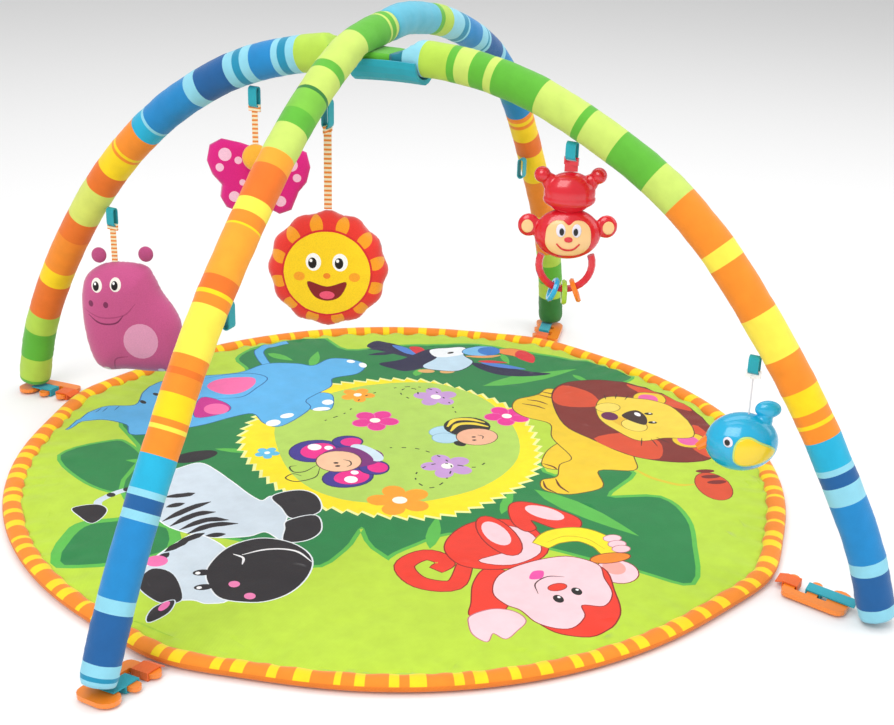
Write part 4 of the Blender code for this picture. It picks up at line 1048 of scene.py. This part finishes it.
MONKEY_HEAD = (0.0320, 0.0150, 0.0250)
MONKEY_HEAD_CENTRE = (0, 0, -0.0754)
rattle = moulded("monkey_rattle_body", [
    ((0, 0, -0.020), (0.0245, 0.0150, 0.0200)), ((0, 0, -0.026), (0.0250, 0.0150, 0.0105)),
    ((-0.0190, 0, -0.010), (0.0075, 0.0055, 0.0085)), ((0.0190, 0, -0.010), (0.0075, 0.0055, 0.0085)),
    ((-0.0265, 0, -0.003), (0.0078, 0.0074, 0.0078)),
    ((0.0265, 0, -0.003), (0.0078, 0.0074, 0.0078))], red_abs, "monkey", (0, 0, -0.0154))
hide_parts("monkey_body")
rattle_head = moulded("monkey_rattle_head", [
    ((0, 0, 0), MONKEY_HEAD), ((-0.0370, 0.002, 0.007), (0.0105, 0.0050, 0.0112)),
    ((0.0370, 0.002, 0.007), (0.0105, 0.0050, 0.0112))], red_abs, "monkey", MONKEY_HEAD_CENTRE)
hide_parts("monkey_head")
face_plate = blob((0, 12), (6, 16), (14, 15), (20, 9), (21.5, 0), (21, -8), (16, -15), (8, -18.5),
                  (0, -19), (-8, -18.5), (-16, -15), (-21, -8), (-21.5, 0), (-20, 9), (-14, 15),
                  (-6, 16))
plate = skin_patch("monkey_face_inlay", face_plate, (0, 0, 0), MONKEY_HEAD, 0.0008, cream_abs,
                   "monkey", MONKEY_HEAD_CENTRE)
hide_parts("monkey_face")
for side in (-1, 1):
    for label, outline, lift, material in (
            ("white", oval(7.5 * side, 7, 4.4, 6.2), 0.0013, lilac_abs),
            ("pupil", oval(6.6 * side, 6, 2.2, 3.4), 0.0018, black_abs)):
        skin_patch("monkey_eye_%s_%s" % (label, "left" if side < 0 else "right"), outline,
                   (0, 0, 0), MONKEY_HEAD, lift, material, "monkey", MONKEY_HEAD_CENTRE)
    skin_patch("monkey_ear_centre_" + ("left" if side < 0 else "right"),
               oval(38.5 * side, 7, 5.6, 6.4), (0.0370 * side, 0.002, 0.007),
               (0.0105, 0.0050, 0.0112), 0.0009, cream_abs, "monkey", MONKEY_HEAD_CENTRE)
skin_patch("monkey_nose", oval(0, -1.5, 4.0, 2.6), (0, 0, 0), MONKEY_HEAD, 0.0016, red_abs,
           "monkey", MONKEY_HEAD_CENTRE)
skin_patch("monkey_smile", stroke([(-11, -6), (-6, -11), (0, -12.5), (6, -11), (11, -6)], 1.8, 4, 0.7),
           (0, 0, 0), MONKEY_HEAD, 0.0014, red_abs, "monkey", MONKEY_HEAD_CENTRE)
finish_nodes(orange_abs, *["clip_" + leg for leg in SLEEVES])
finish_nodes(gloss_plastic("blue_teether_plastic", "1FA9DC"), "teether_blue")
finish_nodes(gloss_plastic("lime_teether_plastic", "A4CE39"), "teether_lime")
finish_nodes(gloss_plastic("orange_teether_plastic", "F5821F"), "teether_orange")
BIRD = (0.0345, 0.0240, 0.0285)
bird_base = (-0.0040, 0, -0.0735)
bird = moulded("bird_musical_shell", [
    ((0, 0, 0), BIRD), ((0.0190, 0, 0.022), (0.0080, 0.0070, 0.0100)),
    ((0.0215, 0, 0.0335), (0.0125, 0.0070, 0.0085))], gloss_plastic("cyan_abs", "14AEDD"), "bird",
    bird_base)
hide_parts("bird_shell")
wing_drop = blob((-10, 4), (-5, 11.5), (3, 12.5), (13, 7.5), (22, 3), (28, -3), (23, -9), (11, -13.5),
                 (-2, -14.5), (-9.5, -9))
edge_plate = skin_patch("bird_wing_edge", grown(wing_drop, 1.6), (0, 0, 0), BIRD, 0.0008,
                        gloss_plastic("pale_green_abs", "BFE07A"), "bird", bird_base)
wing_plate = skin_patch("bird_wing_inlay", wing_drop, (0, 0, 0), BIRD, 0.0014,
                        gloss_plastic("yellow_abs", "F5D216"), "bird", bird_base)
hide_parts("bird_wing")
skin_patch("bird_eye_white", oval(-17, 8, 4.2, 4.6), (0, 0, 0), BIRD, 0.0008, lilac_abs, "bird",
           bird_base)
skin_patch("bird_eye_pupil", oval(-17.8, 7.8, 2.3, 2.7), (0, 0, 0), BIRD, 0.0014, black_abs, "bird",
           bird_base)
finish_nodes(gloss_plastic("beak_orange_abs", "F58220"), "bird_beak")
finish_nodes(gloss_plastic("white_acetal", "F0F0EC", 0.4), "bird_spool", "bird_ribbon")
finish_nodes(gloss_plastic("resin_fibreglass", "E8E8E2", 0.45), *["rod_" + leg for leg in SLEEVES])
steel = new_material("plated_steel", 0.3, metallic=1.0)[0]
steel.node_tree.nodes["Principled BSDF"].inputs["Base Color"].default_value = linear("B9BCC0")
finish_nodes(steel, "ferrule_a", "ferrule_b")
turquoise_webbing = woven_cloth("turquoise_webbing", "22A7B8", 0.0012, 0.4, uv=False)
finish_nodes(turquoise_webbing, *["foot_strap_" + leg for leg in SLEEVES],
             *[n for n in frame["nodes"] if n.startswith("toy_loop_")])
finish_nodes(woven_cloth("red_orange_webbing", "F26A21", 0.0012, 0.4, uv=False),
             *["mat_tab_" + leg for leg in SLEEVES])
finish_nodes(woven_cloth("turquoise_crown_cloth", "19A5BE", 0.0010, uv=False), "crown_cuff")
ribbon_cloth, tree, shader = new_material("striped_grosgrain_ribbon", 0.7, sheen=0.2)
place = add_node(tree, "ShaderNodeTexCoord")
bands = add_node(tree, "ShaderNodeTexWave", {"bands_direction": "Z", "Scale": 0.314 / 0.0045},
                 {"Vector": place.outputs["Object"]})
steps = add_node(tree, "ShaderNodeValToRGB", links={"Fac": bands.outputs["Fac"]})
steps.color_ramp.interpolation = "CONSTANT"
steps.color_ramp.elements[0].color = linear("F3E4C0")
steps.color_ramp.elements[1].position = 0.55
steps.color_ramp.elements[1].color = linear("E8842A")
tree.links.new(steps.outputs["Color"], shader.inputs["Base Color"])
finish_nodes(ribbon_cloth, "hippo_ribbon", "butterfly_ribbon", "sun_ribbon")
finish_nodes(woven_cloth("white_polyester_cord", "E6E6EA", 0.0008, uv=False), "bird_cord")
for side, x, z in (("left", -0.018, -0.0395), ("right", 0.036, -0.037)):
    ear = lump("hippo_plush_ear_" + side, [((x, 0, z), (0.0088, 0.0055, 0.0094))], ["B94C80"],
               toy_velour, "hippo", (0, 0, 0), 0.0009)
    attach(ear, "hippo")
    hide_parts("hippo_ear_" + side)

# ---------------------------------------------------------------- room, light and camera
# A plain pale floor under soft studio light, seen from the front, a little to the left.

bpy.ops.object.select_all(action="DESELECT")
bpy.ops.mesh.primitive_plane_add(size=14.0, location=(0, 2.0, -0.0005))
floor = bpy.context.object
floor.name = "studio_floor"
bpy.ops.object.transform_apply(location=True, rotation=True, scale=True)
paper = new_material("pale_studio_paper", 0.9)[0]
paper.node_tree.nodes["Principled BSDF"].inputs["Base Color"].default_value = linear("F4F4F4")
floor.data.materials.append(paper)
floor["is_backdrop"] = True

for name, spot, size, power in (("key", (-1.6, -1.8, 2.6), 2.2, 62.0),
                                ("fill", (2.2, -1.2, 1.8), 2.4, 26.0),
                                ("top", (0.2, 0.6, 2.8), 2.6, 34.0)):
    lamp = bpy.data.lights.new("softbox_" + name, "AREA")
    lamp.shape = "SQUARE"
    lamp.size = size
    lamp.energy = power
    holder = bpy.data.objects.new("softbox_" + name, lamp)
    holder.location = spot
    holder.rotation_euler = (Vector((0, 0, 0.15)) - Vector(spot)).to_track_quat("-Z", "Y").to_euler()
    bpy.context.scene.collection.objects.link(holder)
    holder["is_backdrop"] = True

world = bpy.data.worlds.new("studio_world")
world.use_nodes = True
world.node_tree.nodes["Background"].inputs["Color"].default_value = (1.0, 1.0, 1.0, 1.0)
world.node_tree.nodes["Background"].inputs["Strength"].default_value = 0.55
bpy.context.scene.world = world
bpy.context.scene.view_settings.view_transform = "Standard"

lens = bpy.data.cameras.new("camera")
lens.lens = 58.39
lens.sensor_width = 36.0
lens.sensor_fit = "HORIZONTAL"
camera = bpy.data.objects.new("camera", lens)
bpy.context.scene.collection.objects.link(camera)
yaw, pitch, roll = (math.radians(v) for v in (18.52, 22.377, 1.61))
forward = Vector((math.sin(yaw) * math.cos(pitch), math.cos(yaw) * math.cos(pitch), -math.sin(pitch)))
level = Vector((math.cos(yaw), -math.sin(yaw), 0))
right = math.cos(roll) * level + math.sin(roll) * level.cross(forward)
columns = (right, right.cross(forward), -forward)
camera.matrix_world = (Matrix.Translation((-0.4135, -1.3909, 0.7323))
                       @ Matrix([[c[i] for c in columns] for i in range(3)]).to_4x4())
bpy.context.scene.camera = camera

size = {"cad": [list(v) for v in CAD_BOX], "visual": [list(v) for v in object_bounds()]}
